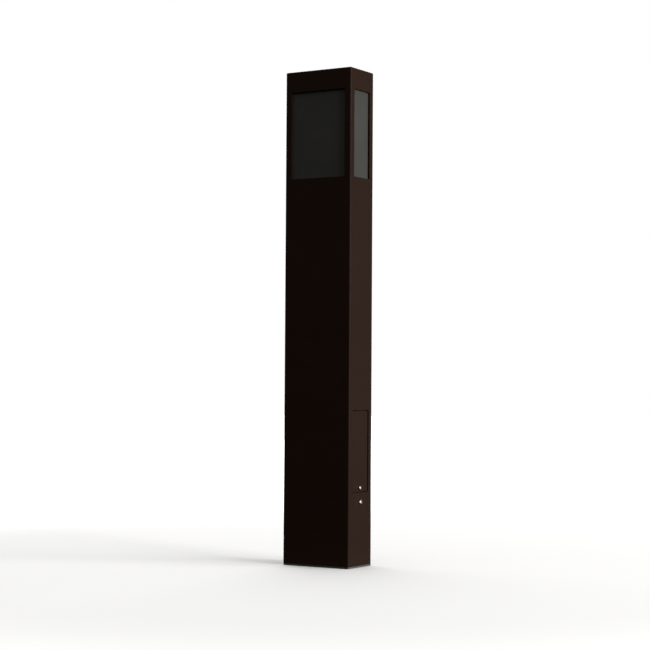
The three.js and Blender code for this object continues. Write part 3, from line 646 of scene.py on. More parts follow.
HEADS = {
    # head radius, head height, hexagon across its flats, depth of the hexagon
    "cover_screw": (3.8, 2.2, 2.5, 1.3),
    "shaft_screw": (4.75, 2.75, 3.0, 1.6),
    "driver_screw": (3.4, 1.8, 2.5, 1.1),
    "cap_screw": (4.0, 2.5, 2.5, 1.8),
    "pan_screw": (4.0, 2.2, 2.5, 1.3),
}
PITCHES = {2.0: 0.7, 2.5: 0.8}  # by the radius of the shank
# depth in pitches, rings to a pitch, and how fast the crest rises from the tip and from the top
THREAD = Sizes(depth=0.61, rings=6, tip_slope=0.8, top_slope=1.5)
BREAK = 0.15  # how far sharp edges are broken
PAN = Sizes(flat=0.62, rim=0.45, edge=0.12, steps=8)  # flat and rim as shares of radius and height
SOCKET = Sizes(floor=0.2, cone=0.35)  # the middle of the socket's floor is small and lies a little deeper


def hex_radius(across):
    """The radius of a hexagon at an angle."""
    half = math.pi / 6
    return lambda angle: across / 2 / math.cos((angle % (2 * half)) - half)


def thread_radius(core, crest, pitch, level):
    """The radius of a right-hand thread at an angle, on the ring at that level."""

    def radius(angle):
        turn = level / pitch - angle / (2 * math.pi)
        tooth = 0.5 + 0.75 * math.cos(2 * math.pi * turn)
        return core + (crest - core) * min(1.0, max(0.0, tooth))

    return radius


def thread(radius, top, bottom, pitch):
    """The profile of a thread, going down, with a run-out at its top and a chamfer at its tip."""
    core = radius - THREAD.depth * pitch
    steps = round((top - bottom) / pitch * THREAD.rings)
    profile = [(core, top)]
    for step in range(1, steps):
        level = top + (bottom - top) * step / steps
        tip = core + (level - bottom) * THREAD.tip_slope
        crest = min(radius, tip, core + (top - level) * THREAD.top_slope)
        profile.append((thread_radius(core, max(core, crest), pitch, level), level))
    return [*profile, (core - BREAK, bottom)]


def hex_socket(across, deep, top, edge):
    """The profile of a hexagon socket, from its floor to its broken edge."""
    side = hex_radius(across)
    floor = [(across * SOCKET.floor, top - deep - SOCKET.cone), (side, top - deep)]
    return [*floor, (side, top - edge), (lambda angle: side(angle) + edge, top)]


def pan_head(radius, height, socket, deep, seat):
    """The profile of a pan head with a hexagon socket, from the socket's floor to the head's underside."""
    flat = PAN.flat * radius
    rim = PAN.rim * height
    profile = [*hex_socket(socket, deep, seat + height, PAN.edge), (flat, seat + height)]
    for step in range(1, PAN.steps + 1):
        angle = math.pi / 2 * step / PAN.steps
        out = flat + (radius - flat) * math.sin(angle)
        profile.append((out, seat + rim + (height - rim) * math.cos(angle)))
    return [*profile, (radius, seat + PAN.edge), (radius - PAN.edge, seat)]


def countersunk_head(radius, height, socket, deep, seat):
    """The profile of a countersunk head, from the socket's floor to the start of its cone."""
    top = seat + height
    profile = [*hex_socket(socket, deep, top, BREAK), (radius - BREAK, top), (radius, top - BREAK)]
    return [*profile, (radius, top - 0.3), (radius - 0.1, top - 0.45)]


def screw(node, facing, kind, shank=2.0, neck=None):
    """A screw whose head looks out of the facing. neck is the [radius, length] of a thin neck under it."""
    at = Place(node, facing)
    seat = at.high.z - HEADS[kind][1]
    head = countersunk_head if kind == "cap_screw" else pan_head
    profile = head(*HEADS[kind], seat)
    top = seat - 0.5
    if kind == "cap_screw":
        top = seat - 0.3
        profile.append((shank, seat))
    if neck:
        profile += [(neck[0], seat), (neck[0], seat - neck[1])]
        top = seat - neck[1]
    elif kind != "cap_screw":
        profile += [(shank, seat), (shank, top)]
    profile += thread(shank, top, at.low.z, PITCHES[shank])
    piece(node, Shell(facing).spin(at.middle, profile))


# ---- tube ----

TUBE = Sizes(wall=3.2, corner=2.8, rim=2.5, inner_corner=1.0, foot=0.5, lip=0.3, steps=6)
WINDOW = Sizes(top=957.5, height=176.0, margin=14.5, radius=1.0, edge=0.5)
HAND_HOLE = Sizes(bottom=149.7, width=64.0, height=164.3, radius=4.0, edge=0.4)
SHAFT_HOLE = Sizes(radius=2.8, edge=0.3)


def window_outline(width):
    middle = (0, WINDOW.top - WINDOW.height / 2)
    return rounded(middle, width - 2 * WINDOW.margin, WINDOW.height, WINDOW.radius)


def tube_holes(facing, width):
    """The outlines cut in one wall of the tube, and how far their edges are rounded."""
    holes = [(window_outline(width), WINDOW.edge)]
    if facing == "right":
        middle = (0, HAND_HOLE.bottom + HAND_HOLE.height / 2)
        cut = rounded(middle, HAND_HOLE.width, HAND_HOLE.height, HAND_HOLE.radius)
        holes.append((cut, HAND_HOLE.edge))
    if facing in ("right", "left"):
        holes.append((bore(f"shaft_screw_{facing}", facing, SHAFT_HOLE.radius), SHAFT_HOLE.edge))
    return holes


def tube_skin(shell, lower, upper):
    """The rounded corners between two level rings that have the same points. Returns the four corner
    vertices of the flat wall that is left open at each facing."""
    per_corner = ARC + 1
    for corner in range(4):
        for step in range(ARC):
            one = corner * per_corner + step
            shell.made.faces.new((lower[one], lower[one + 1], upper[one + 1], upper[one]))
    flats = {}
    for facing, corner in (("rear", 0), ("left", 1), ("front", 2), ("right", 3)):
        start = corner * per_corner + ARC
        end = (start + 1) % len(lower)
        flats[facing] = [lower[start], lower[end], upper[end], upper[start]]
    return flats


def tube_mesh():
    """The tube as one closed skin: outside, rim, inside and foot, with the edges of every hole rounded."""
    at = Place("housing")
    wall, foot, rim, lip = TUBE.wall, TUBE.foot, TUBE.rim, TUBE.lip
    outer = at.outline(TUBE.corner)
    inner = at.outline(TUBE.inner_corner, wall)
    bottom, top = at.low.z, at.high.z
    quarter = [math.pi / 2 * step / TUBE.steps for step in range(TUBE.steps + 1)]
    turns = [(1 - math.sin(angle), 1 - math.cos(angle)) for angle in quarter]
    edges = [
        [(outer(-foot * start), bottom + foot * end) for start, end in turns],
        [(outer(-rim * end), top - rim * start) for start, end in turns],
        [(inner(lip * start), top - lip * end) for start, end in turns[::2]],
        [(inner(lip * end), bottom + lip * start) for start, end in turns[::2]],
    ]
    shell = Shell()
    foot_rings, rim_rings, lip_rings, inner_rings = [
        [shell.ring(points, level) for points, level in edge] for edge in edges
    ]
    shell.loft(foot_rings)
    shell.loft(rim_rings + lip_rings)
    shell.loft(inner_rings)
    shell.bridge(inner_rings[-1], foot_rings[0])
    outside = tube_skin(shell, foot_rings[-1], rim_rings[0])
    inside = tube_skin(shell, inner_rings[0], lip_rings[-1])
    for facing in WALLS:
        side = Place("housing", facing)
        out = side.high.z
        outer_loops, inner_loops = [], []
        for hole, edge in tube_holes(facing, side.size.x):
            levels = edge_levels(out - wall, out, edge)
            loops = shell.loft([shell.ring(hole(inset), level, facing) for inset, level in levels])
            inner_loops.append(loops[0])
            outer_loops.append(loops[-1])
        shell.fill(outside[facing], *outer_loops)
        shell.fill(inside[facing], *inner_loops)
    return shell.mesh("housing")


piece("housing", tube_mesh())

# ---- hand hole and lamp windows ----

COVER = Sizes(corner=2.8, edge=0.5, neck_hole=1.8, hole_edge=0.15)
WASHER = Sizes(edge=0.3, steps=8)
NECK = (1.5, 8.35)  # radius, length
LENS = Sizes(corner=1.0, edge=0.5, gasket_edge=0.2, gasket_gap=1.0)


def cover_washer():
    at = Place("cover_washer", "right")
    rim, hole = (circle(at.middle, reach, WASHER.steps) for reach in (at.size.x / 2, COVER.neck_hole))
    return slab("right", rim, at.low.z, at.high.z, WASHER.edge, [hole], COVER.hole_edge)


def lens_gasket(facing):
    """A frame between the lens and the wall, set back a little from the window's edge."""
    window = window_outline(Place("housing", facing).size.x)
    hole = [lambda grow: window(grow + LENS.gasket_gap)]
    plate(f"lens_gasket_{facing}", facing, LENS.corner, LENS.gasket_edge, hole)


neck_hole = bore("cover_screw", "right", COVER.neck_hole)
plate("access_cover", "right", COVER.corner, COVER.edge, [neck_hole], COVER.hole_edge)
piece("cover_washer", cover_washer())
screw("cover_screw", "right", "cover_screw", neck=NECK)
for side in ("right", "left"):
    screw(f"shaft_screw_{side}", side, "shaft_screw", shank=2.5)
for facing in WALLS:
    plate(f"lens_{facing}", facing, LENS.corner, LENS.edge)
    lens_gasket(facing)

# ---- cap ----

CAP = Sizes(flange=2.8, core=3.2, corner=1.0, groove=2.0, overlap=1.0)
CAP_EDGE = Sizes(flange=0.2, top=0.5, seal=0.6)
CAP_POCKET = Sizes(size=(108, 48), corner=6, deep=6)
CAP_SCREW_HOLE = Sizes(radius=2.3, cone=2.7)  # and how far below the head's top its cone ends
POSTS = [f"{depth}_{side}" for depth in ("rear", "front") for side in ("right", "left")]


def groove_outline():
    """The bottom of the groove round the cap, which the seals lie in."""
    return Place("top_cap").outline(CAP.corner, CAP.groove)


def top_cap():
    at = Place("top_cap")
    full = at.outline(CAP.corner)
    flange, overlap = CAP.flange, CAP.overlap
    bottom, top = at.low.z, at.high.z
    lower = slab("up", full, bottom, bottom + flange, CAP_EDGE.flange)
    middle = slab("up", groove_outline(), bottom + overlap, top - overlap, CAP_EDGE.flange)
    upper = slab("up", full, bottom + flange + CAP.core, top, CAP_EDGE.top)
    pocket = rounded(at.middle, *CAP_POCKET.size, CAP_POCKET.corner)
    cuts = [block("up", pocket, bottom - 1, bottom + CAP_POCKET.deep)]
    radius = CAP_SCREW_HOLE.radius
    for name in POSTS:
        screw_at = Place(f"cap_screw_{name}")
        deep = top - screw_at.high.z + CAP_SCREW_HOLE.cone
        profile = [(radius, bottom - 1), (radius, top - deep), (radius + deep + 0.5, top + 0.5)]
        cuts.append(Shell().spin(screw_at.middle, profile))
    return carved("top_cap", lower, [middle, upper], cuts)


def cord_seal(node):
    """A cord that lies round the groove, and just clear of its bottom."""
    groove = groove_outline()
    plate(node, "up", CAP.corner, CAP_EDGE.seal, [lambda grow: groove(grow + 0.1)])


piece("top_cap", top_cap(), bevel=0.12)
cord_seal("cap_seal")
for name in POSTS:
    screw(f"cap_screw_{name}", "up", "cap_screw")

# ---- anchor base ----

BASE = Sizes(lip=3.5, floor=10.0, wall=4.0, wall_top=30.0, corner=1.5, fit=3.6)
UPSTAND = Sizes(thick=7.4, width=44.0, corner=5.0, steps=8)
RIB = Sizes(thick=6.0, foot=16.0, foot_top=12.0, top=112.0)
ANCHOR_SLOT = Sizes(x=50.0, y=26.0, length=22.0, width=10.0)
CONDUIT_HOLE = (70.0, 46.0, 8.0)
GROUND_HOLE = 2.3
THROUGH_FLOOR = (-5, 15)  # the levels between which a cut goes right through the base's floor


def base_upstand(side, across, top):
    """An upstand that the tube is screwed to, with the rib behind it."""
    thick, half, radius = UPSTAND.thick, UPSTAND.width / 2, UPSTAND.corner
    quarter = [math.pi / 2 * step / UPSTAND.steps for step in range(UPSTAND.steps + 1)]
    foot = BASE.floor - 1
    outline = [(-half, foot), (half, foot)]
    outline += [(half - radius + radius * math.cos(a), top - radius + radius * math.sin(a)) for a in quarter]
    outline += [(-half + radius - radius * math.sin(a), top - radius + radius * math.cos(a)) for a in quarter]
    inner = across / 2 - thick
    upstand = block("right" if side > 0 else "left", polygon(outline), inner, inner + thick)
    rib = [(inner + 1, foot), (inner + 1, RIB.top), (inner, RIB.top)]
    rib += [(inner - RIB.foot, BASE.floor + RIB.foot_top), (inner - RIB.foot, foot)]
    if side < 0:
        rib = [(-u, v) for u, v in reversed(rib)]
    return [upstand, block("front", polygon(rib), -RIB.thick / 2, RIB.thick / 2)]


def anchor_base():
    at = Place("anchor_base")
    across = at.size.x - 2 * BASE.fit
    step = at.outline(BASE.corner, BASE.fit)
    inside = at.outline(BASE.corner, BASE.fit + BASE.wall)
    lip = block("up", at.outline(TUBE.corner), 0, BASE.lip)
    floor = block("up", step, BASE.lip - 1, BASE.floor)
    adds = [floor, block("up", step, BASE.floor - 1, BASE.wall_top, [inside])]
    cuts = [block("up", rounded(at.middle, *CONDUIT_HOLE), *THROUGH_FLOOR)]
    inner = across / 2 - UPSTAND.thick
    width = ANCHOR_SLOT.width
    for side in (1, -1):
        adds += base_upstand(side, across, at.high.z)
        hole = bore(f"shaft_screw_{'right' if side > 0 else 'left'}", "right", SHAFT_HOLE.radius)
        cuts.append(block("right", hole, *sorted((side * (inner - 5), side * (inner + 15)))))
        for depth in (1, -1):
            place = (side * ANCHOR_SLOT.x, depth * ANCHOR_SLOT.y)
            cuts.append(block("up", rounded(place, ANCHOR_SLOT.length, width, width / 2), *THROUGH_FLOOR))
    cuts.append(block("up", bore("ground_screw", "up", GROUND_HOLE), 3, THROUGH_FLOOR[1]))
    return carved("anchor_base", lip, adds, cuts)


piece("anchor_base", anchor_base(), bevel=0.5)

# ---- what is behind the cover ----

FRAME = Sizes(corner=3.0, pocket_deep=2.5, screw_hole=2.7, edge=0.4)
# holes as middle, width, height and corner radius
FRAME_POCKET = ((0, 231.85), 65.2, 165.5, 4.0)
FRAME_OPENING = ((0, 232.5), 50.0, 129.0, 6.0)
HOOK_SLOT = ((0, 313.55), 34.0, 17.9, 1.0)
HOOK = Sizes(thick=2.0, tongue=7.5, edge=0.25)
GASKET = Sizes(band=3.5, corner=6.0, inner_corner=4.0, edge=0.5)
NUT = Sizes(bore=2.1, bore_edge=0.35)
# the chamfer at a nut's ends: radii as shares of half its width, and rises as shares of its width
CROWN = Sizes(face=0.96, edge=1.06, edge_rise=0.05, full_rise=0.09)


def handhole_frame():
    at = Place("handhole_frame", "right")
    back, front = at.low.z, at.high.z
    plain = block("right", at.outline(FRAME.corner), back, front)
    cuts = [block("right", rounded(*FRAME_POCKET), front - FRAME.pocket_deep, front + 1)]
    screw_hole = bore("cover_screw", "right", FRAME.screw_hole)
    through = [rounded(*FRAME_OPENING), rounded(*HOOK_SLOT), screw_hole]
    cuts += [block("right", outline, back - 1, front + 1) for outline in through]
    return carved("handhole_frame", plain, cuts=cuts)


def cover_hook():
    """A strip with a joggle, so that its tip lies close behind the wall."""
    at = Place("cover_hook", "front")
    back, front = at.low.x, at.high.x
    bottom, top = at.low.y, at.high.y
    bend, thick = top - HOOK.tongue, HOOK.thick
    profile = [(back, bottom), (back + thick, bottom), (back + thick, bend - 0.6), (front, bend + 0.6)]
    profile += [(front, top), (front - thick, top), (front - thick, bend + 1.1), (back, bend - 0.1)]
    return slab("front", polygon(profile), at.low.z, at.high.z, HOOK.edge)


def hex_rings(across, low, high):
    """The outside of a hexagon nut, with the corners chamfered round at both ends."""
    full = hex_radius(across)
    flat = across / 2

    def limited(most):
        return lambda angle: min(full(angle), most)

    rings = [(flat * CROWN.face, low), (limited(flat * CROWN.edge), low + CROWN.edge_rise * across)]
    rings.append((full, low + CROWN.full_rise * across))
    return rings + [(radius, low + high - level) for radius, level in reversed(rings)]


def cover_nut():
    at = Place("cover_nut", "right")
    low, high = at.low.z, at.high.z
    radius, edge = NUT.bore, NUT.bore_edge
    inside = [(radius + edge, high), (radius, high - edge), (radius, low + edge), (radius + edge, low)]
    return Shell("right").spin(at.middle, hex_rings(at.size.x, low, high) + inside, closed=True)


piece("handhole_frame", handhole_frame(), bevel=FRAME.edge)
piece("cover_hook", cover_hook())
gasket_hole = Place("cover_gasket", "right").outline(GASKET.inner_corner, GASKET.band)
plate("cover_gasket", "right", GASKET.corner, GASKET.edge, [gasket_hole])
piece("cover_nut", cover_nut())

# ---- gear tray ----

TRAY = Sizes(thick=2.0, bend=2.6, short=20.0, inset=0.6, corner=2.5, hole=2.3, peg_hole=2.2)
PEG = Sizes(radius=1.8, barb=0.3, across=7.3, from_end=3.5)
DRIVER = Sizes(tab=11.0, tab_width=24.0, corner=3.0, deep=28.0, spigot=5.0, cap=9.0)
DRIVER_RIBS = Sizes(levels=(-60, -48, -36, 36, 48, 60), inset=5.0, thick=3.0, corner=1.4)
TAB_THICK = 2.0
SURGE = Sizes(foot=6.0, corner=4.0, deep=26.0, seam=8.0, lamp=3.2, lamp_down=12.0)
TERMINAL = Sizes(ways=3, deep=18.0, well=3.0, well_deep=4.0, slot=1.2, slot_deep=2.5)
WIRE_ENTRY = Sizes(radius=3.4, level=9.4, deep=7.0)
CLAMP = Sizes(radius=2.5, height=1.5, slot=0.7)


def arc(middle, radius, start, end, steps=5):
    """Points along an arc, with angles in degrees."""
    angles = [math.radians(start + (end - start) * step / steps) for step in range(steps + 1)]
    return [(middle[0] + radius * math.cos(a), middle[1] + radius * math.sin(a)) for a in angles]


def peg_places():
    """Where the snap pegs of the terminal block and the surge protector are on the tray."""
    terminal, surge = Place("terminal_block", "right"), Place("surge_protector", "right")
    reach = surge.size.y / 2 - PEG.from_end
    return {
        "terminal_block": [(side * PEG.across, terminal.middle.y) for side in (1, -1)],
        "surge_protector": [(surge.middle.x, surge.middle.y + side * reach) for side in (1, -1)],
    }


def gear_tray():
    """A sheet metal channel: the flanges stop short of the plate's ends."""
    at = Place("gear_tray")
    back, front, side = at.low.x, at.high.x, at.high.y
    face = back + TRAY.thick
    inner_side = side - TRAY.thick
    bend, inner_bend = TRAY.bend, TRAY.bend - TRAY.thick
    channel = [(front, side), *arc((back + bend, side - bend), bend, 90, 180)]
    channel += [*arc((back + bend, bend - side), bend, 180, 270), (front, -side), (front, -inner_side)]
    channel += arc((face + inner_bend, inner_bend - inner_side), inner_bend, 270, 180)
    channel += [*arc((face + inner_bend, inner_side - inner_bend), inner_bend, 180, 90), (front, inner_side)]
    bottom, top = at.low.z, at.high.z
    flanged = block("up", polygon(channel), bottom + TRAY.short, top - TRAY.short)
    wide = Place("gear_tray", "right")
    sheet = rounded(wide.middle, wide.size.x - 2 * TRAY.inset, wide.size.y, TRAY.corner)
    holes = []
    for screw_node in ("tray_screw_lower", "tray_screw_upper", "driver_screw_lower", "driver_screw_upper"):
        holes.append(bore(screw_node, "right", TRAY.hole))
    for places in peg_places().values():
        holes += [circle(place, TRAY.peg_hole) for place in places]
    cuts = [block("right", hole, back - 5, face + 5) for hole in holes]
    return carved("gear_tray", block("right", sheet, back, face), [flanged], cuts)


def snap_peg(place, back, face):
    """A peg with a barb behind the tray."""
    radius, barb = PEG.radius, PEG.radius + PEG.barb
    tip = [(radius / 2, back), (radius, back + 0.7), (barb, back + 1.2), (radius, back + 1.5)]
    return Shell("right").spin(place, [*tip, (radius, face + 1)])


def led_driver():
    """A grooved case on a long foot, with ribs on its face and a spigot for the cable at each end."""
    at = Place("led_driver", "right")
    back, front = at.low.z, at.low.z + DRIVER.deep
    low, high = at.low.y + DRIVER.tab, at.high.y - DRIVER.tab
    section = rounded(((back + front) / 2, 0), DRIVER.deep, at.size.x, DRIVER.corner)
    body = grooved("up", section, low, high, 1.0, (low + DRIVER.cap, high - DRIVER.cap))
    tab = rounded(at.middle, DRIVER.tab_width, at.size.y, DRIVER.corner)
    adds = [slab("right", tab, back, back + TAB_THICK)]
    spigot = circle(((back + front) / 2 - 0.1, 0), DRIVER.spigot)
    for end, out in ((low, -1), (high, 1)):
        adds.append(slab("up", spigot, *sorted((end - out, end + out * 4)), 0.6))
    width = at.size.x - 2 * DRIVER_RIBS.inset
    for level in DRIVER_RIBS.levels:
        rib = rounded((0, at.middle.y + level), width, DRIVER_RIBS.thick, DRIVER_RIBS.corner)
        adds.append(slab("right", rib, front - 2, at.high.z))
    holes = [bore(node, "right", TRAY.hole) for node in ("driver_screw_lower", "driver_screw_upper")]
    return carved("led_driver", body, adds, [block("right", hole, back - 1, back + 4) for hole in holes])


def surge_protector():
    """A moulded case on a foot, with a seam along its sides and a window for its lamp."""
    at = Place("surge_protector", "right")
    back, front = at.high.z - SURGE.deep, at.high.z
    low, high = at.low.y + SURGE.foot, at.high.y - SURGE.foot
    section = rounded(((back + front) / 2, at.middle.x), SURGE.deep, at.size.x, SURGE.corner)
    body = slab("up", section, low, high, 1.4)
    adds = [slab("right", at.outline(3.0), back, back + TAB_THICK)]
    adds += [snap_peg(place, at.low.z, back) for place in peg_places()["surge_protector"]]
    lamp = circle((at.middle.x, high - SURGE.lamp_down), SURGE.lamp)
    cuts = [block("right", lamp, front - 0.8, front + 1)]
    for side in (1, -1):
        seam = rounded((back + SURGE.seam, at.middle.x + side * at.size.x / 2), 0.7, 1.2, 0.2)
        cuts.append(block("up", seam, low - 1, high + 1))
    return carved("surge_protector", body, adds, cuts)


def terminal_ways():
    """How far across the terminal block the middle of each way is."""
    ways = TERMINAL.ways
    pitch = Place("terminal_block", "right").size.x / ways
    return [(way - (ways - 1) / 2) * pitch for way in range(ways)]


def terminal_block():
    at = Place("terminal_block", "right")
    back, front = at.high.z - TERMINAL.deep, at.high.z
    deep = WIRE_ENTRY.deep
    cuts = []
    for across in terminal_ways():
        well = circle((across, at.middle.y), TERMINAL.well)
        cuts.append(block("right", well, front - TERMINAL.well_deep, front + 1))
        entry = circle((back + WIRE_ENTRY.level, across), WIRE_ENTRY.radius)
        for low, high in ((at.low.y - 1, at.low.y + deep), (at.high.y - deep, at.high.y + 1)):
            cuts.append(block("up", entry, low, high))
    half_pitch = at.size.x / TERMINAL.ways / 2
    for across in (half_pitch, -half_pitch):
        slot = rounded((across, at.middle.y), TERMINAL.slot, at.size.y + 4, 0.3)
        cuts.append(block("right", slot, front - TERMINAL.slot_deep, front + 1))
    pegs = [snap_peg(place, at.low.z, back) for place in peg_places()["terminal_block"]]
    return carved("terminal_block", slab("right", at.outline(1.0), back, front, 0.5), pegs, cuts)


def clamp_screw(across):
    """A slotted screw at the bottom of a terminal's well."""
    at = Place("terminal_block", "right")
    bottom = at.high.z - TERMINAL.well_deep + 0.05
    middle = (across, at.middle.y)
    head = slab("right", circle(middle, CLAMP.radius), bottom, bottom + CLAMP.height)
    slot = slab("right", rounded(middle, 7, CLAMP.slot, 0.1), bottom + 0.7, bottom + 3, 0.02)
    return carved("clamp_screw", head, cuts=[slot])


piece("gear_tray", gear_tray(), bevel=0.25)
piece("led_driver", led_driver(), bevel=0.25)
piece("surge_protector", surge_protector(), bevel=0.25)
piece("terminal_block", terminal_block(), bevel=0.25)
for number, across in enumerate(terminal_ways(), 1):
    add_piece(f"clamp_screw_{number}", clamp_screw(across), "stainless_steel", "bollard")
for end in ("lower", "upper"):
    node = f"tray_standoff_{end}"
    plate(node, "right", 1.0, 0.5, [bore(node, "right", TRAY.hole)], 0.3)
    screw(f"tray_screw_{end}", "right", "pan_screw")
    screw(f"driver_screw_{end}", "right", "driver_screw")

# ---- lamp chamber ----

CHAMBER = Sizes(groove_low=1.5, groove_high=1.3, gland_hole=6.3, screw_hole=2.3)
LEDGE = Sizes(thick=4.0, fillet=1.5)
HEAT_SINK = Sizes(wall=3.0, web=8.0)


def light_tray():
    """A plate with a groove round its edge for the seal, and holes for the gland and the screws."""
    at = Place("light_tray")
    full = at.outline(1.0)
    low, high = at.low.z, at.high.z
    lower = slab("up", full, low, low + CHAMBER.groove_low, 0.15)
    core = slab("up", groove_outline(), low + 1, high - 1, 0.2)
    upper = slab("up", full, high - CHAMBER.groove_high, high, 0.15)
    holes = [circle((0, 0), CHAMBER.gland_hole)]
    for node in (*[f"post_screw_{post}" for post in POSTS], "heatsink_screw_left", "heatsink_screw_right"):
        holes.append(bore(node, "up", CHAMBER.screw_hole))
    cuts = [block("up", hole, low - 1, high + 1) for hole in holes]
    return carved("light_tray", lower, [core, upper], cuts)


def ledge(side):
    """An angle under the light tray, with a fillet in its corner."""
    at = Place(f"ledge_{side}", "front")
    wall, tip = (at.low.x, at.high.x) if side == "left" else (at.high.x, at.low.x)
    inward = 1 if side == "left" else -1
    low, high = at.low.y, at.high.y
    under = high - LEDGE.thick
    face = wall + inward * LEDGE.thick
    fillet = LEDGE.fillet
    profile = [(wall, low), (face, low), (face, under - fillet)]
    for u, v in arc((fillet, -fillet), fillet, 180, 90):
        profile.append((face + inward * u, under + v))
    profile += [(tip, under), (tip, high), (wall, high)]
    if side == "right":
        profile.reverse()
    bar = block("front", polygon(profile), at.low.z, at.high.z)
    holes = [bore(f"post_screw_{depth}_{side}", "up", CHAMBER.screw_hole) for depth in ("front", "rear")]
    return carved(f"ledge_{side}", bar, cuts=[block("up", hole, low - 1, high + 1) for hole in holes])


def cable_gland():
    """A gland through the light tray: a domed nut with grips, a hexagon under the tray and a nut over it."""
    at = Place("cable_gland")
    bottom, top = at.low.z, at.high.z
    tray = Place("light_tray")
    under, over = tray.low.z - 0.1, tray.high.z + 0.1

    def grip(angle):
        return 8.5 - 0.3 * max(0.0, math.cos(12 * angle))

    profile = [(3.3, bottom + 0.4), (3.7, bottom), (5.2, bottom), (5.9, bottom + 0.3), (7.2, bottom + 1.4)]
    profile += [(8.1, bottom + 2.8), (8.4, bottom + 3.8), (grip, bottom + 4.4), (grip, under - 6.4)]
    profile += [(8.3, under - 5.9), (8.3, under - 5.0)]
    profile += hex_rings(19.0, under - 5.0, under)
    profile += [(6.0, under), (6.0, over)]
    profile += hex_rings(17.0, over, over + 4.0)
    profile += [(5.6, over + 4.0), (6.0, over + 4.4), (6.0, top - 0.5), (5.5, top)]
    profile += [(3.7, top), (3.3, top - 0.4)]
    return Shell().spin(at.middle, profile, closed=True)


def heat_sink():
    """A hollow extrusion, with a web for a screw on each side of its middle."""
    at = Place("led_heatsink")
    wall, web = HEAT_SINK.wall, HEAT_SINK.web
    deep = at.size.y - 2 * wall
    screw_x = Place("heatsink_screw_right").middle.x
    side_width = at.size.x / 2 - wall - screw_x - web / 2
    side_middle = screw_x + web / 2 + side_width / 2
    holes = [rounded((0, 0), 2 * screw_x - web, deep, 1.0)]
    for side in (1, -1):
        holes.append(rounded((side * side_middle, 0), side_width, deep, 1.0))
        holes.append(circle((side * screw_x, 0), CHAMBER.screw_hole))
    plate("led_heatsink", "up", 1.0, 0.3, holes)


piece("light_tray", light_tray(), bevel=0.15)
cord_seal("light_tray_seal")
for side in ("left", "right"):
    piece(f"ledge_{side}", ledge(side), bevel=0.5)
    screw(f"heatsink_screw_{side}", "down", "pan_screw")
piece("cable_gland", cable_gland())
heat_sink()
for name in POSTS:
    plate(f"corner_post_{name}", "up", 1.0, 0.3, [bore(f"corner_post_{name}", "up", CHAMBER.screw_hole)])
    screw(f"post_screw_{name}", "down", "pan_screw")

# ---- LED boards ----

LED = Sizes(size=3.5, corner=0.4, board=1.6, package=0.62, rows=7, two_columns_from=50)
PHOSPHOR = Sizes(radius=1.25, top_radius=0.8)


def led_places(at):
    """The middles of the LEDs on a board, in rows and in one or two columns."""
    columns = 2 if at.size.x > LED.two_columns_from else 1
    for column in range(columns):
        for row in range(LED.rows):
            across = (column - (columns - 1) / 2) * at.size.x / columns
            up = at.middle.y + (row - (LED.rows - 1) / 2) * at.size.y / LED.rows
            yield across, up


def led_board(facing):
    """A board with its LED packages and their phosphor, the phosphor a little proud of the packages."""
    at = Place(f"led_board_{facing}", facing)
    face = at.low.z + LED.board
    top = face + LED.package
    piece(f"led_board_{facing}", slab(facing, at.outline(1.0), at.low.z, face, 0.1))
    packages, phosphors = Shell(facing), Shell(facing)
    for place in led_places(at):
        packages.slab(rounded(place, LED.size, LED.size, LED.corner), face + 0.01, top, 0.1)
        rings = [(PHOSPHOR.radius, top + 0.06), (PHOSPHOR.radius, top + 0.01)]
        phosphors.spin(place, [(PHOSPHOR.top_radius, at.high.z), *rings])
    add_piece(f"led_packages_{facing}", packages, "led_board_white", "bollard")
    add_piece(f"led_phosphor_{facing}", phosphors, "led_board_white", "bollard", finish="led_phosphor")


for facing in WALLS:
    led_board(facing)

# ---- wiring ----

CABLE_X, TERMINAL_X, TERMINAL_Y = -45.8, -50.3, 14.667
ROUTES = {
    # node, radius, points in millimetres
    "led_cable": (3.0, [
        (CABLE_X, 0, 493.3), (CABLE_X, 0, 520), (CABLE_X + 4, 0, 580), (-18, 0, 655),
        (-3, 0, 715), (0, 0, 745), (0, 0, 770), (0, 0, 800),
    ]),
    "driver_input_cable": (3.0, [
        (CABLE_X, 0, 336.7), (CABLE_X, -0.5, 330), (CABLE_X, -8, 313), (CABLE_X, -15, 297),
        (CABLE_X, -16.5, 275), (CABLE_X, -16.5, 256),
        (TERMINAL_X, -TERMINAL_Y, 238), (TERMINAL_X, -TERMINAL_Y, 230), (TERMINAL_X, -TERMINAL_Y, 222),
    ]),
    "ground_wire": (2.0, [
        (-42, 9.4, 14.1), (-42, 18, 14.1), (-45, 25, 18), (-50, 29, 32), (-55, 30, 60),
        (-56, 30, 110), (-54, 27, 150), (-51, 18, 175),
        (TERMINAL_X, TERMINAL_Y, 192), (TERMINAL_X, TERMINAL_Y, 200), (TERMINAL_X, TERMINAL_Y, 209),
    ]),
}


def smooth_route(points, steps=10):
    """A centripetal Catmull-Rom curve through the points."""
    points = [Vector(point) for point in points]
    points = [2 * points[0] - points[1], *points, 2 * points[-1] - points[-2]]
    route = [points[1]]
    for four in zip(points, points[1:], points[2:], points[3:]):
        knots = [0.0]
        for one, other in zip(four, four[1:]):
            knots.append(knots[-1] + (other - one).length ** 0.5)
        for step in range(1, steps + 1):
            at = knots[1] + (knots[2] - knots[1]) * step / steps
            level = list(four)
            for order in (1, 2, 3):
                level = [
                    blend_knots(level[i], level[i + 1], *knot_span(knots, i, order), at)
                    for i in range(4 - order)
                ]
            route.append(level[0])
    return route


def knot_span(knots, index, order):
    """The knots between which a step of the Catmull-Rom pyramid blends."""
    if order == 3:
        return knots[1], knots[2]
    return knots[index], knots[index + order]


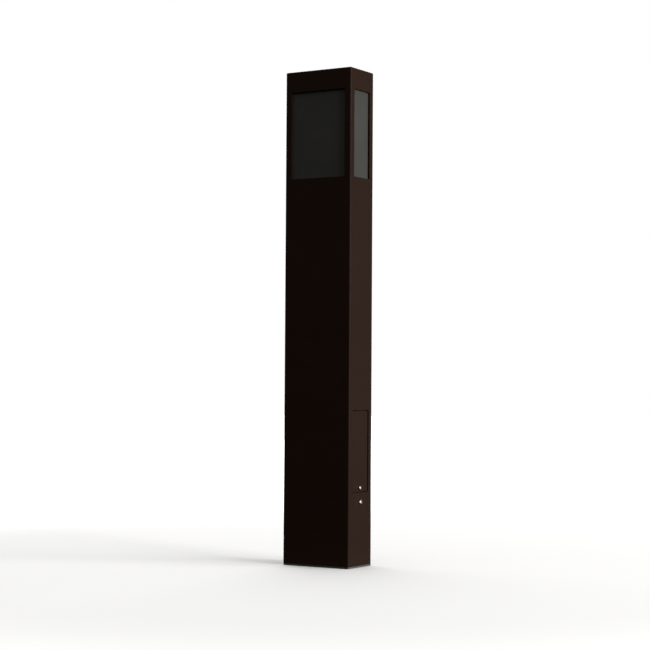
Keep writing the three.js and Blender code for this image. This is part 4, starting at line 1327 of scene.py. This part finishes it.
def blend_knots(one, other, start, end, at):
    return one * ((end - at) / (end - start)) + other * ((at - start) / (end - start))


def cable(name, radius, points):
    """A round tube along the route, with flat ends."""
    curve = bpy.data.curves.new(name, "CURVE")
    curve.dimensions = "3D"
    curve.bevel_depth = radius * MM
    curve.bevel_resolution = ARC
    curve.use_fill_caps = True
    route = smooth_route(points)
    spline = curve.splines.new("POLY")
    spline.points.add(len(route) - 1)
    for point, place in zip(spline.points, route):
        point.co = (*(place * MM), 1)
    tube = bpy.data.objects.new(name, curve)
    bpy.context.scene.collection.objects.link(tube)
    bpy.context.view_layer.update()
    mesh = bpy.data.meshes.new_from_object(tube.evaluated_get(bpy.context.evaluated_depsgraph_get()))
    bpy.data.objects.remove(tube)
    return mesh


for node, (radius, points) in ROUTES.items():
    piece(node, cable(node, radius, points))

# ---- earthing ----

LUG = Sizes(tongue=(12.0, 14.0, 2.0), barrel=4.0, bore=2.3, start=6.0, bore_start=9.0)
CRIMP = Sizes(width=5.0, length=2.6, deep=0.9, from_end=5.0)


def ground_lug():
    """A flat tongue with a barrel on it, whose top the crimping tool has dented."""
    at = Place("ground_lug")
    hole = Place("ground_screw").middle
    width, length, thick = LUG.tongue
    base, end = at.low.z, at.high.y
    tongue = slab("up", rounded((hole.x, at.low.y + length / 2), width, length, 2.0), base, base + thick)
    axis = (-hole.x, base + LUG.barrel)
    barrel = slab("rear", circle(axis, LUG.barrel), LUG.start, end, 0.4)
    dent = rounded((hole.x, end - CRIMP.from_end), CRIMP.width, CRIMP.length, 0.8)
    cuts = [
        block("rear", circle(axis, LUG.bore), LUG.bore_start, end + 1),
        block("up", circle(hole, CHAMBER.screw_hole), base - 1, base + 4),
        block("up", dent, at.high.z - CRIMP.deep, at.high.z + 1),
    ]
    return carved("ground_lug", tongue, [barrel], cuts)


piece("ground_lug", ground_lug(), bevel=0.2)
screw("ground_screw", "up", "pan_screw")

# ---- size and end ----

sides = {"cad": cad_box, "visual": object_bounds()}
{name: [list(corner) for corner in box] for name, box in sides.items()}
